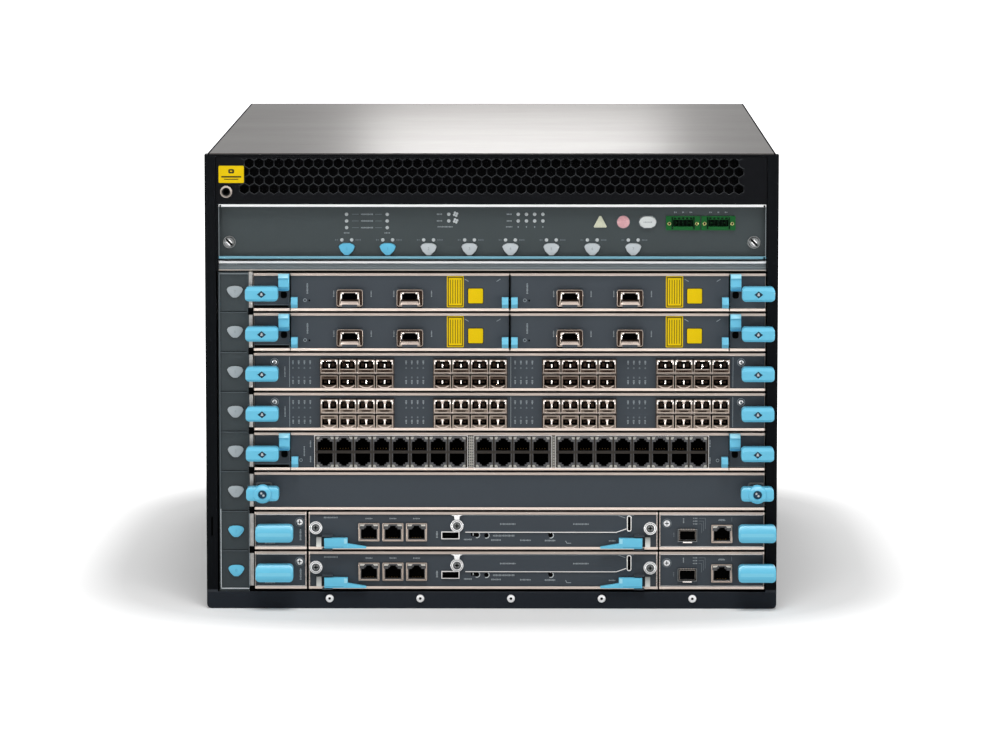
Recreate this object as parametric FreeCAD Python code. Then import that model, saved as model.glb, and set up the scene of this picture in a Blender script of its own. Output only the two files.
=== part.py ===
import FreeCAD, Part
import math
import os
from FreeCAD import Vector

# Rack chassis eight units high. Lengths are millimetres, the front plane is y = 0 while building,
# x runs to the right seen from the front and z = 0 is the underside.

# Housing
BODY_WIDTH = 439.0
BODY_DEPTH = 622.0
WALL = 2.0
COVER = 1.5
SEAT = 0.3
WALL_FLANGE = 12.0

# Front bezel
BEZEL_LAP = 2.5
BEZEL_SHEET = 2.0
BEZEL_DROP = 1.0
BEZEL_RETURN = 14.0
BEZEL_CORNER = 3.5
PILLAR = 8.5
SILL = 13.1
LINTEL = 1.1
VENT_SLIT_Z = 57.0
VENT_SLIT_LENGTH = 15.0
VENT_SLIT_WIDTH = 1.4

# Card slots
SLOTS = 8
SLOT_PITCH = 31.13
SLOT_START = 2.1
PLATE_HEIGHT = 29.3
PLATE_SET = 2.0
PLATE_RIM = 1.2
PLATE_SHEET = 1.8
PLATE_FLANGE = 2.0
PLATE_RETURN = 12.0
COLUMN_SET = 1.5
STRIP_WIDTH = 23.5
RAIL_WIDTH = 3.0
CARD_SIDE_GAP = 0.6
CARD_END_GAP = 1.1
PLATE_SPLIT = 0.6
FRONT_LAYOUT = 397.0

# Card boards, guides and midplane
BOARD_SHEET = 2.0
BOARD_RISE = 3.2
BOARD_INSET = 1.0
BOARD_START = 16.0
SINK = (94.6, 150.0, 330.0, 120.0, 18.0)
BLANK_DEPTH = 90.0
GUIDE_START = 18.0
GUIDE_WEB = 2.5
GUIDE_LIP = 1.4
GUIDE_REACH = 7.0
GUIDE_POST = 12.0
GUIDE_POST_SHEET = 1.6
MIDPLANE_FROM_REAR = 62.0
MIDPLANE_SHEET = 3.0
CONNECTOR_DEPTH = 12.0
CONNECTOR_HEIGHT = 8.0
CONNECTOR_WIDTH = 300.0

# Upper bays
HEADER_GAP = 2.0
HEADER_HEIGHT = 7.5
HEADER_DEPTH = 13.7
SHELF_RISE = 1.1
CRAFT_GAP = 1.4
CRAFT_HEIGHT = 42.7
CRAFT_DEPTH = 8.0
CRAFT_SHEET = 1.6
CRAFT_LIP = 1.8
CRAFT_FRONT = 0.5
GRILLE_SHEET = 1.6
GRILLE_HEIGHT = 36.89
GRILLE_SET = 1.0
CELL_PITCH = 7.65
CELL_WEB = 0.8
CELL_ROWS = 4
CELL_COLUMNS = 51
CELL_MARGIN = 7.1

# Slide-in units at the rear
SUPPLIES = 4
SUPPLY_GAP = 2.5
SUPPLY_SIDE_GAP = 3.75
SUPPLY_HEAD_GAP = 2.29
SUPPLY_DEPTH = 356.0
FAN_TRAY_WIDTH = 27.0
FAN_TRAY_START = 150.0
FAN_SIZE = 119.0
FAN_BORE = 112.0
FAN_HUB = 38.0
FAN_COLUMNS = 3
FAN_ROWS = 2
FAN_BLADES = 5
FAN_TIP = 4.0
FAN_CHORD = 24.0
FAN_PITCH = 55.0
REAR_SHEET = 2.0
SUPPLY_HANDLE = 70.0
SUPPLY_HANDLE_PLACE = (40.0, 12.0)
TRAY_HANDLE = 100.0
ROCKER = (13.0, 20.0)
ROCKER_PLACE = (8.0, 30.0)
INLET = (30.0, 22.0, 18.0)
INLET_PLACE = (10.0, 14.0)
HANDLE_REACH = 28.0
HANDLE_BAR = 7.0

# Turning handles of the cards
KNOB_LENGTH = 25.4
KNOB_HEIGHT = 11.0
KNOB_FRONT = -22.0
KNOB_BACK = -9.0
KNOB_HUB = 5.0
KNOB_FROM_LEFT = 7.3
KNOB_FROM_RIGHT = 6.4
KNOB_RISE = 15.0
KNOB_BULGE = 7.7
KNOB_DRAFT = 0.9
KNOB_RECESS = 2.5
KNOB_PIN = 1.1
GRIP_LENGTH = 29.2
GRIP_HEIGHT = 13.4
GRIP_CROWN = 0.9
GRIP_FROM_LEFT = 16.2
GRIP_FROM_RIGHT = 6.2

# Modules in the first, second and fifth slots
END_PLATE_LEFT = 28.5
END_PLATE_RIGHT = 28.0
MODULE_DEPTH = 185.0
PORT_OFFSETS = (46.2, 92.8)
PORT_WIDTH = 20.0
PORT_HEIGHT = 14.2
PORT_RISE = 2.9
PORT_PROUD = 2.5
PORT_DEPTH = 60.0
PORT_MOUTH = (11.7, 6.2, 14.0)
TAB_WIDTH = 8.2
TAB_RISE = 16.6
TAB_HEIGHT = 12.4
TAB_PROUD = 7.0
PULL_WIDTH = 5.0
PULL_RISE = 2.9
PULL_HEIGHT = 7.9

# Optical transceivers in the third and fourth slots
OPTIC_GROUPS = (51.8, 139.7, 224.5, 312.6)
OPTIC_COLUMNS = 4
OPTIC_PITCH = 14.35
OPTIC_WIDTH = 13.6
OPTIC_HEIGHT = 10.2
OPTIC_RISES = (2.2, 14.4)
OPTIC_DEPTH = 56.0
OPTIC_PROUD = 3.0
OPTIC_MOUTH = (10.8, 5.6, 9.0)
PORT_BOARD_RISE = 12.6
PORT_BOARD_SHEET = 1.6
PORT_BOARD_END = 64.0

# Copper sockets in the fifth slot
JACK_STARTS = (19.4, 143.2, 206.8)
JACK_COUNTS = (8, 4, 8)
JACK_PITCH = 14.65
JACK_RISE = 2.3
JACK_ROW = 12.3
JACK_DEPTH = 22.0
JACK_PROUD = 1.0
JACK_MOUTH = (11.8, 7.6, 13.0)
JACK_KEY = (6.0, 2.2)
JACK_MARGIN = 0.9

# Routing engines in the seventh and eighth slots
ENGINE_FROM_LEFT = 42.1
ENGINE_FROM_RIGHT = 82.9
ENGINE_DEPTH = 250.0
ENGINE_BOARD_RISE = 8.0
RUNNER_INSET = 5.0
RUNNER_WIDTH = 5.0
ENGINE_JACKS = (46.9, 65.6, 84.0)
ENGINE_JACK = (16.2, 14.2)
ENGINE_JACK_RISE = 6.4
SHELL_DEPTH = 22.0
USB_FROM_LEFT = 110.4
USB_RISE = 11.0
USB_SIZE = (13.8, 5.8)
USB_DEPTH = 15.0
LEVER_PIVOT = 3.4
LEVER_LENGTH = 32.7
LEVER_BLOCK = 18.6
LEVER_RISE = 1.5
LEVER_HEIGHT = 8.8
LEVER_TAIL = 3.8
LEVER_THICK = 6.4
LEVER_Y = -1.6
DOOR_ENDS = (120.2, 18.6)
DOOR_SLOPE = (9.0, 5.0)
DOOR_RISE = (13.2, 27.1)
DOOR_PROUD = 0.8
FABRIC_LEFT_GAP = 1.7
FABRIC_RIGHT_GAP = 1.2
CAGE_FROM_RIGHT = 59.8
CAGE_RISE = 6.6
CAGE_SIZE = (14.0, 9.2)
CAGE_DEPTH = 50.0
SIDE_JACK_FROM_RIGHT = 33.0
SIDE_JACK_RISE = 5.3

# Craft panel fittings
SHIELD_FROM_LEFT = 101.2
SHIELD_PITCH = 31.72
SHIELD_WIDTH = 12.4
SHIELD_HEIGHT = 9.2
SHIELD_RISE = 7.5
SHIELD_PROUD = 1.5
OVAL = (92.6, 28.8, 13.0, 8.8)
OVAL_PROUD = 2.4
ALARM_FROM_RIGHT = (65.2, 37.9)
ALARM_RISE = 28.0
ALARM_SIZE = (26.4, 11.0)
ALARM_MOUTH = (15.5, 5.5, 12.0)
LAMP_TRIANGLE = (129.4, 29.1, 9.9)
LAMP_ROUND = (111.5, 28.8, 4.7)
LAMP_PROUD = 0.6
ESD = (8.2, 9.5, 4.7, 2.0)

# Mounting interfaces
BRACKET_HOLE = 2.2
BRACKET_SPACING_Z = 250.0
BRACKET_Y = 60.0
GROUND_HOLE = 3.3
GROUND_SPACING = 15.9
GROUND_FROM_SIDE = 23.5
GROUND_Z = 40.0

# Side ventilation
VENT_COLUMNS = 3
VENT_ROWS = 2
VENT_BAR = 12.0

# Places worked out from the sizes above
HALF = BODY_WIDTH / 2
INSIDE = HALF - WALL
FRONT = BEZEL_SHEET + SEAT
BEZEL_HALF = HALF + BEZEL_LAP
OPENING = BEZEL_HALF - PILLAR
PLATE_Z0 = SILL + SLOT_START
STRIP_X0 = -OPENING + COLUMN_SET
RAIL_X0 = STRIP_X0 + STRIP_WIDTH + SEAT
CARD_X0 = RAIL_X0 + RAIL_WIDTH + CARD_SIDE_GAP
CARD_X1 = OPENING - CARD_END_GAP
WEB_Y = PLATE_SET + PLATE_RIM
WEB_BACK = WEB_Y + PLATE_SHEET
MIDPLANE_Y = BODY_DEPTH - MIDPLANE_FROM_REAR
BOARD_END = MIDPLANE_Y - CONNECTOR_DEPTH
HEADER_Z = PLATE_Z0 + (SLOTS - 1) * SLOT_PITCH + PLATE_HEIGHT + HEADER_GAP
SHELF_Z = HEADER_Z + SHELF_RISE
SHELF_TOP = SHELF_Z + WALL
CRAFT_Z = HEADER_Z + HEADER_HEIGHT + CRAFT_GAP
CRAFT_FACE = CRAFT_DEPTH - CRAFT_SHEET
GRILLE_Z = CRAFT_Z + CRAFT_HEIGHT + SEAT
GRILLE_TOP = GRILLE_Z + GRILLE_HEIGHT
BODY_HEIGHT = GRILLE_TOP + SEAT + LINTEL + BEZEL_DROP
COVER_Z = BODY_HEIGHT - COVER
REAR_Y = BODY_DEPTH - 2 * REAR_SHEET
SUPPLY_Z = SHELF_TOP + SEAT
SUPPLY_TOP = COVER_Z - WALL - SUPPLY_HEAD_GAP
SUPPLY_PITCH = (2 * (INSIDE - SUPPLY_SIDE_GAP) + SUPPLY_GAP) / SUPPLIES
SUPPLY_WIDTH = SUPPLY_PITCH - SUPPLY_GAP
SPREAD = (CARD_X1 - CARD_X0) / FRONT_LAYOUT
OPTIC_STARTS = [CARD_X0 + inset * SPREAD for inset in OPTIC_GROUPS]
OPTIC_STEP = OPTIC_PITCH * SPREAD
OPTIC_FACE = OPTIC_WIDTH * SPREAD
JACK_STEP = JACK_PITCH * SPREAD
JACK_FACE = JACK_MOUTH[0] * SPREAD
MODULE_X0 = CARD_X0 + END_PLATE_LEFT
MODULE_X1 = CARD_X1 - END_PLATE_RIGHT
ENGINE_X0 = CARD_X0 + ENGINE_FROM_LEFT
ENGINE_X1 = CARD_X1 - ENGINE_FROM_RIGHT
FAN_X0 = -INSIDE + 1.0
FAN_TOP = SHELF_Z - 3.0


def slot_z(slot):
    """Underside of the faceplate in a slot, counted from the top."""
    return PLATE_Z0 + (SLOTS - slot) * SLOT_PITCH


def block(x0, x1, y0, y1, z0, z1):
    return Part.makeBox(x1 - x0, y1 - y0, z1 - z0, Vector(x0, y0, z0))


def rod_y(x, z, radius, y0, y1):
    return Part.makeCylinder(radius, y1 - y0, Vector(x, y0, z), Vector(0, 1, 0))


def rod_z(x, y, radius, z0, z1):
    return Part.makeCylinder(radius, z1 - z0, Vector(x, y, z0), Vector(0, 0, 1))


def prism(points, along):
    """Solid swept along a vector from a closed outline of points."""
    corners = [Vector(*p) for p in points]
    return Part.Face(Part.makePolygon(corners + corners[:1])).extrude(Vector(*along))


def prism_x(points, x0, x1):
    return prism([(x0, y, z) for y, z in points], (x1 - x0, 0, 0))


def prism_y(points, y0, y1):
    return prism([(x, y0, z) for x, z in points], (0, y1 - y0, 0))


def prism_z(points, z0, z1):
    return prism([(x, y, z0) for x, y in points], (0, 0, z1 - z0))


def join(*solids):
    first, *rest = solids
    return first.multiFuse(list(rest)).removeSplitter() if rest else first


def cut(solid, tools):
    return solid.cut(list(tools))


def octagon(x, z, width, height, corner):
    """Outline of a bar with its four corners taken off."""
    a, b = width / 2, height / 2
    flat = [(a - corner, b), (a, b - corner), (a, corner - b), (a - corner, -b)]
    mirror = [(-u, v) for u, v in reversed(flat)]
    return [(x + u, z + v) for u, v in flat + mirror]


def ring(x, z, radius, sides):
    """Regular outline of many sides, for a small round part."""
    turn = 2 * math.pi / sides
    return [(x + radius * math.sin((k + 0.5) * turn), z + radius * math.cos((k + 0.5) * turn))
            for k in range(sides)]


def save(name, shape):
    """Writes one piece, moved so that the middle of the base is the origin."""
    shape = shape.copy()
    shape.translate(Vector(0, -BODY_DEPTH / 2, 0))
    shape.exportStep(f"parts/{name}.step")


# Housing


def base_pan():
    side = INSIDE - 0.1
    floor = block(-side, side, FRONT, REAR_Y - SEAT, 0, WALL)
    front = block(-side, side, FRONT, FRONT + WALL, 0, SILL - 1.0)
    rear = block(-side, side, REAR_Y - SEAT - WALL, REAR_Y - SEAT, 0, SILL - 1.0)
    return join(floor, front, rear)


def vent_windows(x0, x1, y0, y1, z0, z1):
    """Openings of a side wall, in rows between crossbars."""
    step_y = (y1 - y0 + VENT_BAR) / VENT_COLUMNS
    step_z = (z1 - z0 + VENT_BAR) / VENT_ROWS
    for column in range(VENT_COLUMNS):
        for row in range(VENT_ROWS):
            a = y0 + column * step_y
            b = z0 + row * step_z
            yield block(x0, x1, a, a + step_y - VENT_BAR, b, b + step_z - VENT_BAR)


def side_wall(side):
    """Folded sheet with a top flange, vent windows and the holes of a rack bracket."""
    outer, inner = side * HALF, side * INSIDE
    low, high = min(outer, inner), max(outer, inner)
    wall = block(low, high, FRONT, REAR_Y + REAR_SHEET, 0, COVER_Z)
    lip = sorted((inner, inner - side * WALL_FLANGE))
    flange = block(lip[0], lip[1], BEZEL_RETURN + 4, REAR_Y - 1, COVER_Z - WALL, COVER_Z)
    middle = (PLATE_Z0 + FAN_TOP) / 2
    holes = [
        Part.makeCylinder(BRACKET_HOLE, 2 * WALL, Vector(low - WALL / 2, y, z), Vector(1, 0, 0))
        for y, z in ((BRACKET_Y, middle - BRACKET_SPACING_Z / 2), (BRACKET_Y, middle + BRACKET_SPACING_Z / 2))
    ]
    first_y = FAN_TRAY_START + 2 * VENT_BAR
    windows = vent_windows(low - 1, high + 1, first_y, first_y + FAN_COLUMNS * FAN_SIZE,
                           PLATE_Z0 + VENT_BAR, FAN_TOP - VENT_BAR)
    return cut(join(wall, flange), holes + list(windows))


def top_cover():
    sheet = block(-HALF, HALF, FRONT, BODY_DEPTH, COVER_Z, BODY_HEIGHT)
    hem = block(-HALF, HALF, BODY_DEPTH - COVER, BODY_DEPTH, COVER_Z - 3, BODY_HEIGHT)
    return join(sheet, hem)


def front_bezel():
    """Front frame with pillars, sill and lintel, returned along both sides."""
    half = BEZEL_HALF
    top = BODY_HEIGHT - BEZEL_DROP
    corner = [(half - BEZEL_CORNER * (1 - math.sin(turn)), BEZEL_CORNER * (1 - math.cos(turn)))
              for turn in (0, math.pi / 6, math.pi / 3, math.pi / 2)]
    right = corner + [(half, top)]
    outline = right + [(-x, z) for x, z in reversed(right)]
    frame = prism_y(outline, 0, BEZEL_RETURN)
    side = HALF + SEAT
    hollow = block(-side, side, BEZEL_SHEET, BEZEL_RETURN + 1, -1, top + 1)
    window = block(-OPENING, OPENING, -1, BEZEL_SHEET + 1, SILL, top - LINTEL)
    slit_x = -half + PILLAR / 2 - VENT_SLIT_WIDTH / 2
    slit = block(slit_x, slit_x + VENT_SLIT_WIDTH, -1, BEZEL_SHEET + 1,
                 VENT_SLIT_Z, VENT_SLIT_Z + VENT_SLIT_LENGTH)
    return cut(frame, [hollow, window, slit])


def hexagon(x, z, across):
    """Pointed-top hexagon outline."""
    radius = across / math.sqrt(3)
    return [(x + radius * math.sin(k * math.pi / 3), z + radius * math.cos(k * math.pi / 3))
            for k in range(6)]


def intake_grille():
    """Black sheet above the craft panel with four rows of honeycomb cells."""
    side = OPENING - SEAT
    y0, y1 = GRILLE_SET, GRILLE_SET + GRILLE_SHEET
    sheet = block(-side, side, y0, y1, GRILLE_Z, GRILLE_TOP)
    fold = block(-side, side, y0, BEZEL_RETURN, GRILLE_TOP - GRILLE_SHEET, GRILLE_TOP)
    row_pitch = CELL_PITCH * math.sqrt(3) / 2
    first_x = -(CELL_COLUMNS - 1) / 2 * CELL_PITCH
    first_z = GRILLE_Z + CELL_MARGIN + CELL_PITCH / math.sqrt(3)
    cells = []
    for row in range(CELL_ROWS):
        shift = CELL_PITCH / 2 if row % 2 else 0
        for k in range(CELL_COLUMNS - row % 2):
            x = first_x + shift + k * CELL_PITCH
            outline = hexagon(x, first_z + row * row_pitch, CELL_PITCH - CELL_WEB)
            cells.append(prism_y(outline, y0 - 1, y1 + 1))
    inset, rise, radius, _ = ESD
    cells.append(prism_y(ring(inset - OPENING, GRILLE_Z + rise, radius - 1, 8), y0 - 1, y1 + 1))
    return cut(join(sheet, fold), cells)


def cage_shelf():
    """Deck between the card cage and the power supply bay, folded up at its front."""
    side = INSIDE - SEAT
    deck = block(-side, side, BOARD_START, REAR_Y - SEAT, SHELF_Z, SHELF_TOP)
    fold = block(-side, side, BOARD_START, BOARD_START + WALL, SHELF_Z, HEADER_Z + HEADER_HEIGHT)
    stop_y = REAR_Y - SUPPLY_DEPTH - WALL - SEAT
    stop = block(-side, side, stop_y, stop_y + WALL, SHELF_Z, SHELF_TOP + 20)
    return join(deck, fold, stop)


def connector(z0, y0, y1):
    """Long connector block of a card, or its counterpart on the midplane."""
    middle = (CARD_X0 + CARD_X1) / 2
    z = z0 + BOARD_RISE - 1
    return block(middle - CONNECTOR_WIDTH / 2, middle + CONNECTOR_WIDTH / 2, y0, y1, z, z + CONNECTOR_HEIGHT)


def midplane():
    sheet = block(RAIL_X0 + SEAT, INSIDE - SEAT, MIDPLANE_Y, MIDPLANE_Y + MIDPLANE_SHEET,
                  WALL + SEAT, SHELF_Z - SEAT)
    rows = [connector(slot_z(slot), BOARD_END + SEAT, MIDPLANE_Y) for slot in range(1, SLOTS + 1)]
    return join(sheet, *rows)


def card_guide(side):
    """Ledges that carry the board edges, on posts that stand between floor and shelf."""
    edge = CARD_X0 + BOARD_INSET if side < 0 else CARD_X1 - BOARD_INSET
    back = edge + side * (1.5 + GUIDE_WEB)
    face = back - side * GUIDE_WEB
    tip = back - side * GUIDE_REACH
    low = BOARD_RISE - SEAT
    high = BOARD_RISE + BOARD_SHEET + SEAT
    end = MIDPLANE_Y - SEAT
    rails = []
    for slot in range(1, SLOTS + 1):
        z = slot_z(slot)
        outline = [(back, low - GUIDE_LIP), (tip, low - GUIDE_LIP), (tip, low), (face, low),
                   (face, high + GUIDE_LIP), (back, high + GUIDE_LIP)]
        rails.append(prism_y([(x, z + rise) for x, rise in outline], GUIDE_START, end))
    x0, x1 = sorted((back, back + side * GUIDE_POST_SHEET))
    middle = (GUIDE_START + end - GUIDE_POST) / 2
    posts = [block(x0, x1, y, y + GUIDE_POST, WALL, SHELF_Z - SEAT)
             for y in (GUIDE_START, middle, end - GUIDE_POST)]
    return rails + posts


def cage_rails():
    """Vertical rail with a notch under each slot, and the header rail above the cards."""
    z1 = HEADER_Z - SEAT
    rail = block(RAIL_X0, RAIL_X0 + RAIL_WIDTH, PLATE_SET, BOARD_START - SEAT, SILL + SEAT, z1)
    notches = [block(RAIL_X0 - 1, RAIL_X0 + RAIL_WIDTH + 1, 0, PLATE_SET + 6,
                     slot_z(slot) - SLOT_START, slot_z(slot) + 1.4)
               for slot in range(1, SLOTS + 1)]
    side = OPENING - SEAT
    top = HEADER_Z + HEADER_HEIGHT
    y0, y1 = PLATE_SET, PLATE_SET + HEADER_DEPTH
    header = prism_x([(y0, HEADER_Z), (y1, HEADER_Z), (y1, top), (y0 + 2.5, top), (y0, top - 2.0),
                      (y0, HEADER_Z + 5.2), (y0 + 1, HEADER_Z + 4.6), (y0 + 1, HEADER_Z + 3.6),
                      (y0, HEADER_Z + 3.0)], -side, side)
    return Part.makeCompound([cut(rail, notches), header])


def slot_strip():
    """Column left of the cards, a shallow rimmed plate with a groove between slots."""
    x0, x1 = STRIP_X0, STRIP_X0 + STRIP_WIDTH
    z0, z1 = SILL + SEAT, HEADER_Z - SEAT
    body = block(x0, x1, PLATE_SET, BOARD_START - SEAT, z0, z1)
    rim = 1.5
    face = block(x0 + rim, x1 - rim, PLATE_SET - 1, PLATE_SET + PLATE_RIM, z0 + rim, z1 - rim)
    hollow = block(x0 + rim, x1 - rim, WEB_BACK, BOARD_START, z0 + rim, z1 - rim)
    grooves = [block(x0 + 2 * rim, x1 - 2 * rim, WEB_Y - 1, WEB_Y + 0.5,
                     slot_z(slot) - SLOT_START / 2 - 0.4, slot_z(slot) - SLOT_START / 2 + 0.4)
               for slot in range(1, SLOTS)]
    return cut(body, [face, hollow] + grooves)


def rear_panel():
    """Rear sheet with the supply bay, the fan tray mouth and a raised service cover."""
    side = INSIDE - 0.1
    y0, y1 = REAR_Y, REAR_Y + REAR_SHEET
    sheet = block(-side, side, y0, y1, SEAT, COVER_Z - 0.1)
    bay_half = INSIDE - SUPPLY_SIDE_GAP + 0.5
    bay = block(-bay_half, bay_half, y0 - 1, y1 + 1, SHELF_TOP, SUPPLY_TOP + 0.5)
    tray = block(-side - 1, FAN_X0 + FAN_TRAY_WIDTH + 0.5, y0 - 1, y1 + 1, SILL, FAN_TOP + 0.5)
    ground_x = HALF - GROUND_FROM_SIDE
    grounds = [rod_y(ground_x, GROUND_Z + k * GROUND_SPACING / 2, GROUND_HOLE, y0 - 1, y1 + 1)
               for k in (-1, 1)]
    opened = cut(sheet, [bay, tray] + grounds)
    x0, x1 = FAN_X0 + FAN_TRAY_WIDTH + 10, ground_x - 18
    z0, z1 = SILL + 4, SHELF_Z - 6
    raised = prism([(x0, y1, z0), (x1, y1, z0), (x1, y1, z1), (x0, y1, z1)], (0, 1.2, 0))
    return join(opened, raised)


# Craft panel


def shield(x, z, grow=0.0):
    """Outline of a shield, arched on top and narrowing to its foot."""
    a = SHIELD_WIDTH / 2 + grow
    top = SHIELD_HEIGHT / 2 + grow
    right = [(0.4 * a, top), (0.82 * a, 0.78 * top), (a, 0.42 * top), (0.74 * a, -0.34 * top),
             (0.24 * a, -top)]
    left = [(-u, v) for u, v in reversed(right)]
    return [(x + u, z + v) for u, v in right + left]


def shield_places():
    z = CRAFT_Z + SHIELD_RISE
    return [(SHIELD_FROM_LEFT - OPENING + k * SHIELD_PITCH, z) for k in range(SLOTS)]


def oval(grow, y0, y1):
    """Short cylinder of rounded oblong section on the alarm button's axis."""
    inset, rise, width, height = OVAL
    x = OPENING - inset
    a, b = width / 2 + grow, height / 2 + grow
    half = [(a - 4, b), (a - 1.2, b - 1.4), (a, b - 4)]
    quarter = half + [(u, -v) for u, v in reversed(half)]
    outline = quarter + [(-u, -v) for u, v in quarter]
    return prism_y([(x + u, CRAFT_Z + rise + v) for u, v in outline], y0, y1)


def craft_panel():
    """Channel between header and grille, open to the front, with windows for its fittings."""
    side = OPENING - SEAT
    z0, z1 = CRAFT_Z, CRAFT_Z + CRAFT_HEIGHT
    y0, y1 = CRAFT_FRONT, CRAFT_DEPTH
    profile = [(y0, z0), (y1, z0), (y1, z1), (y0, z1), (y0, z1 - CRAFT_LIP),
               (CRAFT_FACE, z1 - CRAFT_LIP), (CRAFT_FACE, z0 + CRAFT_LIP), (y0, z0 + CRAFT_LIP)]
    channel = prism_x(profile, -side, side)
    tools = [prism_y(shield(x, z, SEAT), CRAFT_FACE - 1, y1 + 1) for x, z in shield_places()]
    tools.append(oval(SEAT, CRAFT_FACE - 1, y1 + 1))
    mouth_w, mouth_h, _ = ALARM_MOUTH
    for inset in ALARM_FROM_RIGHT:
        x = OPENING - inset
        z = z0 + ALARM_RISE
        a, b = mouth_w / 2 + 1.2 + SEAT, mouth_h / 2 + 1.2 + SEAT
        tools.append(block(x - a, x + a, CRAFT_FACE - 1, y1 + 1, z - b, z + b))
    for end in (-1, 1):
        x0, x1 = sorted((end * (side + 1), end * (side - 5)))
        for z in (z0, z1 - CRAFT_LIP):
            tools.append(block(x0, x1, y0 - 1, CRAFT_FACE - 1.5, z - 0.5, z + CRAFT_LIP + 0.5))
    inset, rise, width = LAMP_TRIANGLE
    x = OPENING - inset
    base = z0 + rise - width / 2
    lamp = prism_y([(x - width / 2, base), (x + width / 2, base), (x, base + width)],
                   CRAFT_FACE - LAMP_PROUD, CRAFT_FACE + 0.5)
    inset, rise, radius = LAMP_ROUND
    dot = prism_y(ring(OPENING - inset, z0 + rise, radius, 12), CRAFT_FACE - LAMP_PROUD, CRAFT_FACE + 0.5)
    return join(cut(channel, tools), lamp, dot)


def slot_buttons():
    """One shield-shaped button for each slot, with a shoulder behind the sheet."""
    buttons = []
    for x, z in shield_places():
        stem = prism_y(shield(x, z), CRAFT_FACE - SHIELD_PROUD, CRAFT_DEPTH + 0.6)
        shoulder = block(x - SHIELD_WIDTH / 2 - 1, x + SHIELD_WIDTH / 2 + 1, CRAFT_DEPTH + SEAT,
                         CRAFT_DEPTH + 2, z - SHIELD_HEIGHT / 2 - 1, z + SHIELD_HEIGHT / 2 + 1)
        buttons.append(join(stem, shoulder))
    return Part.makeCompound(buttons)


def alarm_button():
    cap = oval(0, CRAFT_FACE - OVAL_PROUD, CRAFT_DEPTH + 0.6)
    return join(cap, oval(1.0, CRAFT_DEPTH + SEAT, CRAFT_DEPTH + 2))


def alarm_sockets():
    """Two flanged relay sockets with a rectangular mouth each."""
    width, height = ALARM_SIZE
    mouth_w, mouth_h, mouth_d = ALARM_MOUTH
    z = CRAFT_Z + ALARM_RISE
    y0 = CRAFT_FACE - 1.5
    sockets = []
    for x in (OPENING - inset for inset in ALARM_FROM_RIGHT):
        flange = block(x - width / 2, x + width / 2, y0, CRAFT_FACE, z - height / 2, z + height / 2)
        a, b = mouth_w / 2, mouth_h / 2
        body = block(x - a - 1.2, x + a + 1.2, y0, y0 + mouth_d + 1.5, z - b - 1.2, z + b + 1.2)
        mouth = block(x - a, x + a, y0 - 1, y0 + mouth_d, z - b, z + b)
        sockets.append(cut(join(flange, body), [mouth]))
    return Part.makeCompound(sockets)


def wrist_socket():
    """Collared socket for a wrist strap's plug, let into the grille sheet."""
    inset, rise, radius, bore = ESD
    x = inset - OPENING
    z = GRILLE_Z + rise
    collar = join(prism_y(ring(x, z, radius, 12), GRILLE_SET - 1.4, GRILLE_SET),
                  prism_y(ring(x, z, radius - 1 - SEAT, 8), GRILLE_SET - 1.4, GRILLE_SET + 11))
    return cut(collar, [rod_y(x, z, bore, -5, GRILLE_SET + 9)])


# Cards


def face_channel(x0, x1, z0, rimmed=False):
    """Folded faceplate with its flanges proud of the web, and side rims where asked."""
    z1 = z0 + PLATE_HEIGHT
    y3 = PLATE_SET + PLATE_RETURN
    low, high = z0 + PLATE_FLANGE, z1 - PLATE_FLANGE
    profile = [(PLATE_SET, z0), (y3, z0), (y3, low), (WEB_BACK, low), (WEB_BACK, high), (y3, high),
               (y3, z1), (PLATE_SET, z1), (PLATE_SET, high), (WEB_Y, high), (WEB_Y, low), (PLATE_SET, low)]
    plate = prism_x(profile, x0, x1)
    if not rimmed:
        return plate
    rims = [block(x, x + 1.2, PLATE_SET, y3, z0 + 0.5, z1 - 0.5) for x in (x0, x1 - 1.2)]
    return join(plate, *rims)


def heat_sink(x0, x1, y0, y1, z0, height, fins=3):
    """Comb of fins across the air stream."""
    pitch = (y1 - y0) / (2 * fins - 1)
    outline = [(y0, z0)]
    for k in range(fins):
        y = y0 + 2 * k * pitch
        outline += [(y, z0 + height), (y + pitch, z0 + height)]
        if k < fins - 1:
            outline += [(y + pitch, z0 + 2), (y + 2 * pitch, z0 + 2)]
    outline.append((y1, z0))
    return prism_x(outline, x0, x1)


def card_board(z0, start=BOARD_START):
    """Circuit board of a card with its rear connector and a heat sink."""
    low = z0 + BOARD_RISE
    top = low + BOARD_SHEET
    sheet = block(CARD_X0 + BOARD_INSET, CARD_X1 - BOARD_INSET, start, BOARD_END, low, top)
    x0, length, y0, depth, height = SINK
    sink = heat_sink(CARD_X0 + x0, CARD_X0 + x0 + length, y0, y0 + depth, top - 0.5, height)
    return [sheet, sink, connector(z0, BOARD_END - CONNECTOR_DEPTH, BOARD_END)]


def plate_foot(x0, x1, z0):
    """Stretch of board that meets the back of a faceplate."""
    low = z0 + BOARD_RISE
    inner0 = max(x0, CARD_X0 + BOARD_INSET)
    inner1 = min(x1, CARD_X1 - BOARD_INSET)
    return block(inner0, inner1, WEB_BACK - 0.5, BOARD_START + 0.5, low, low + BOARD_SHEET)


def blue_tab(x0, x1, z0, z1):
    """Lever end with a sloped front, standing on a faceplate."""
    back = WEB_Y + 0.5
    return prism_x([(back, z0), (-TAB_PROUD + 2, z0), (-TAB_PROUD, z0 + 3), (-TAB_PROUD + 1.2, z1 - 2),
                    (-TAB_PROUD + 3, z1), (back, z1)], x0, x1)


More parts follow.
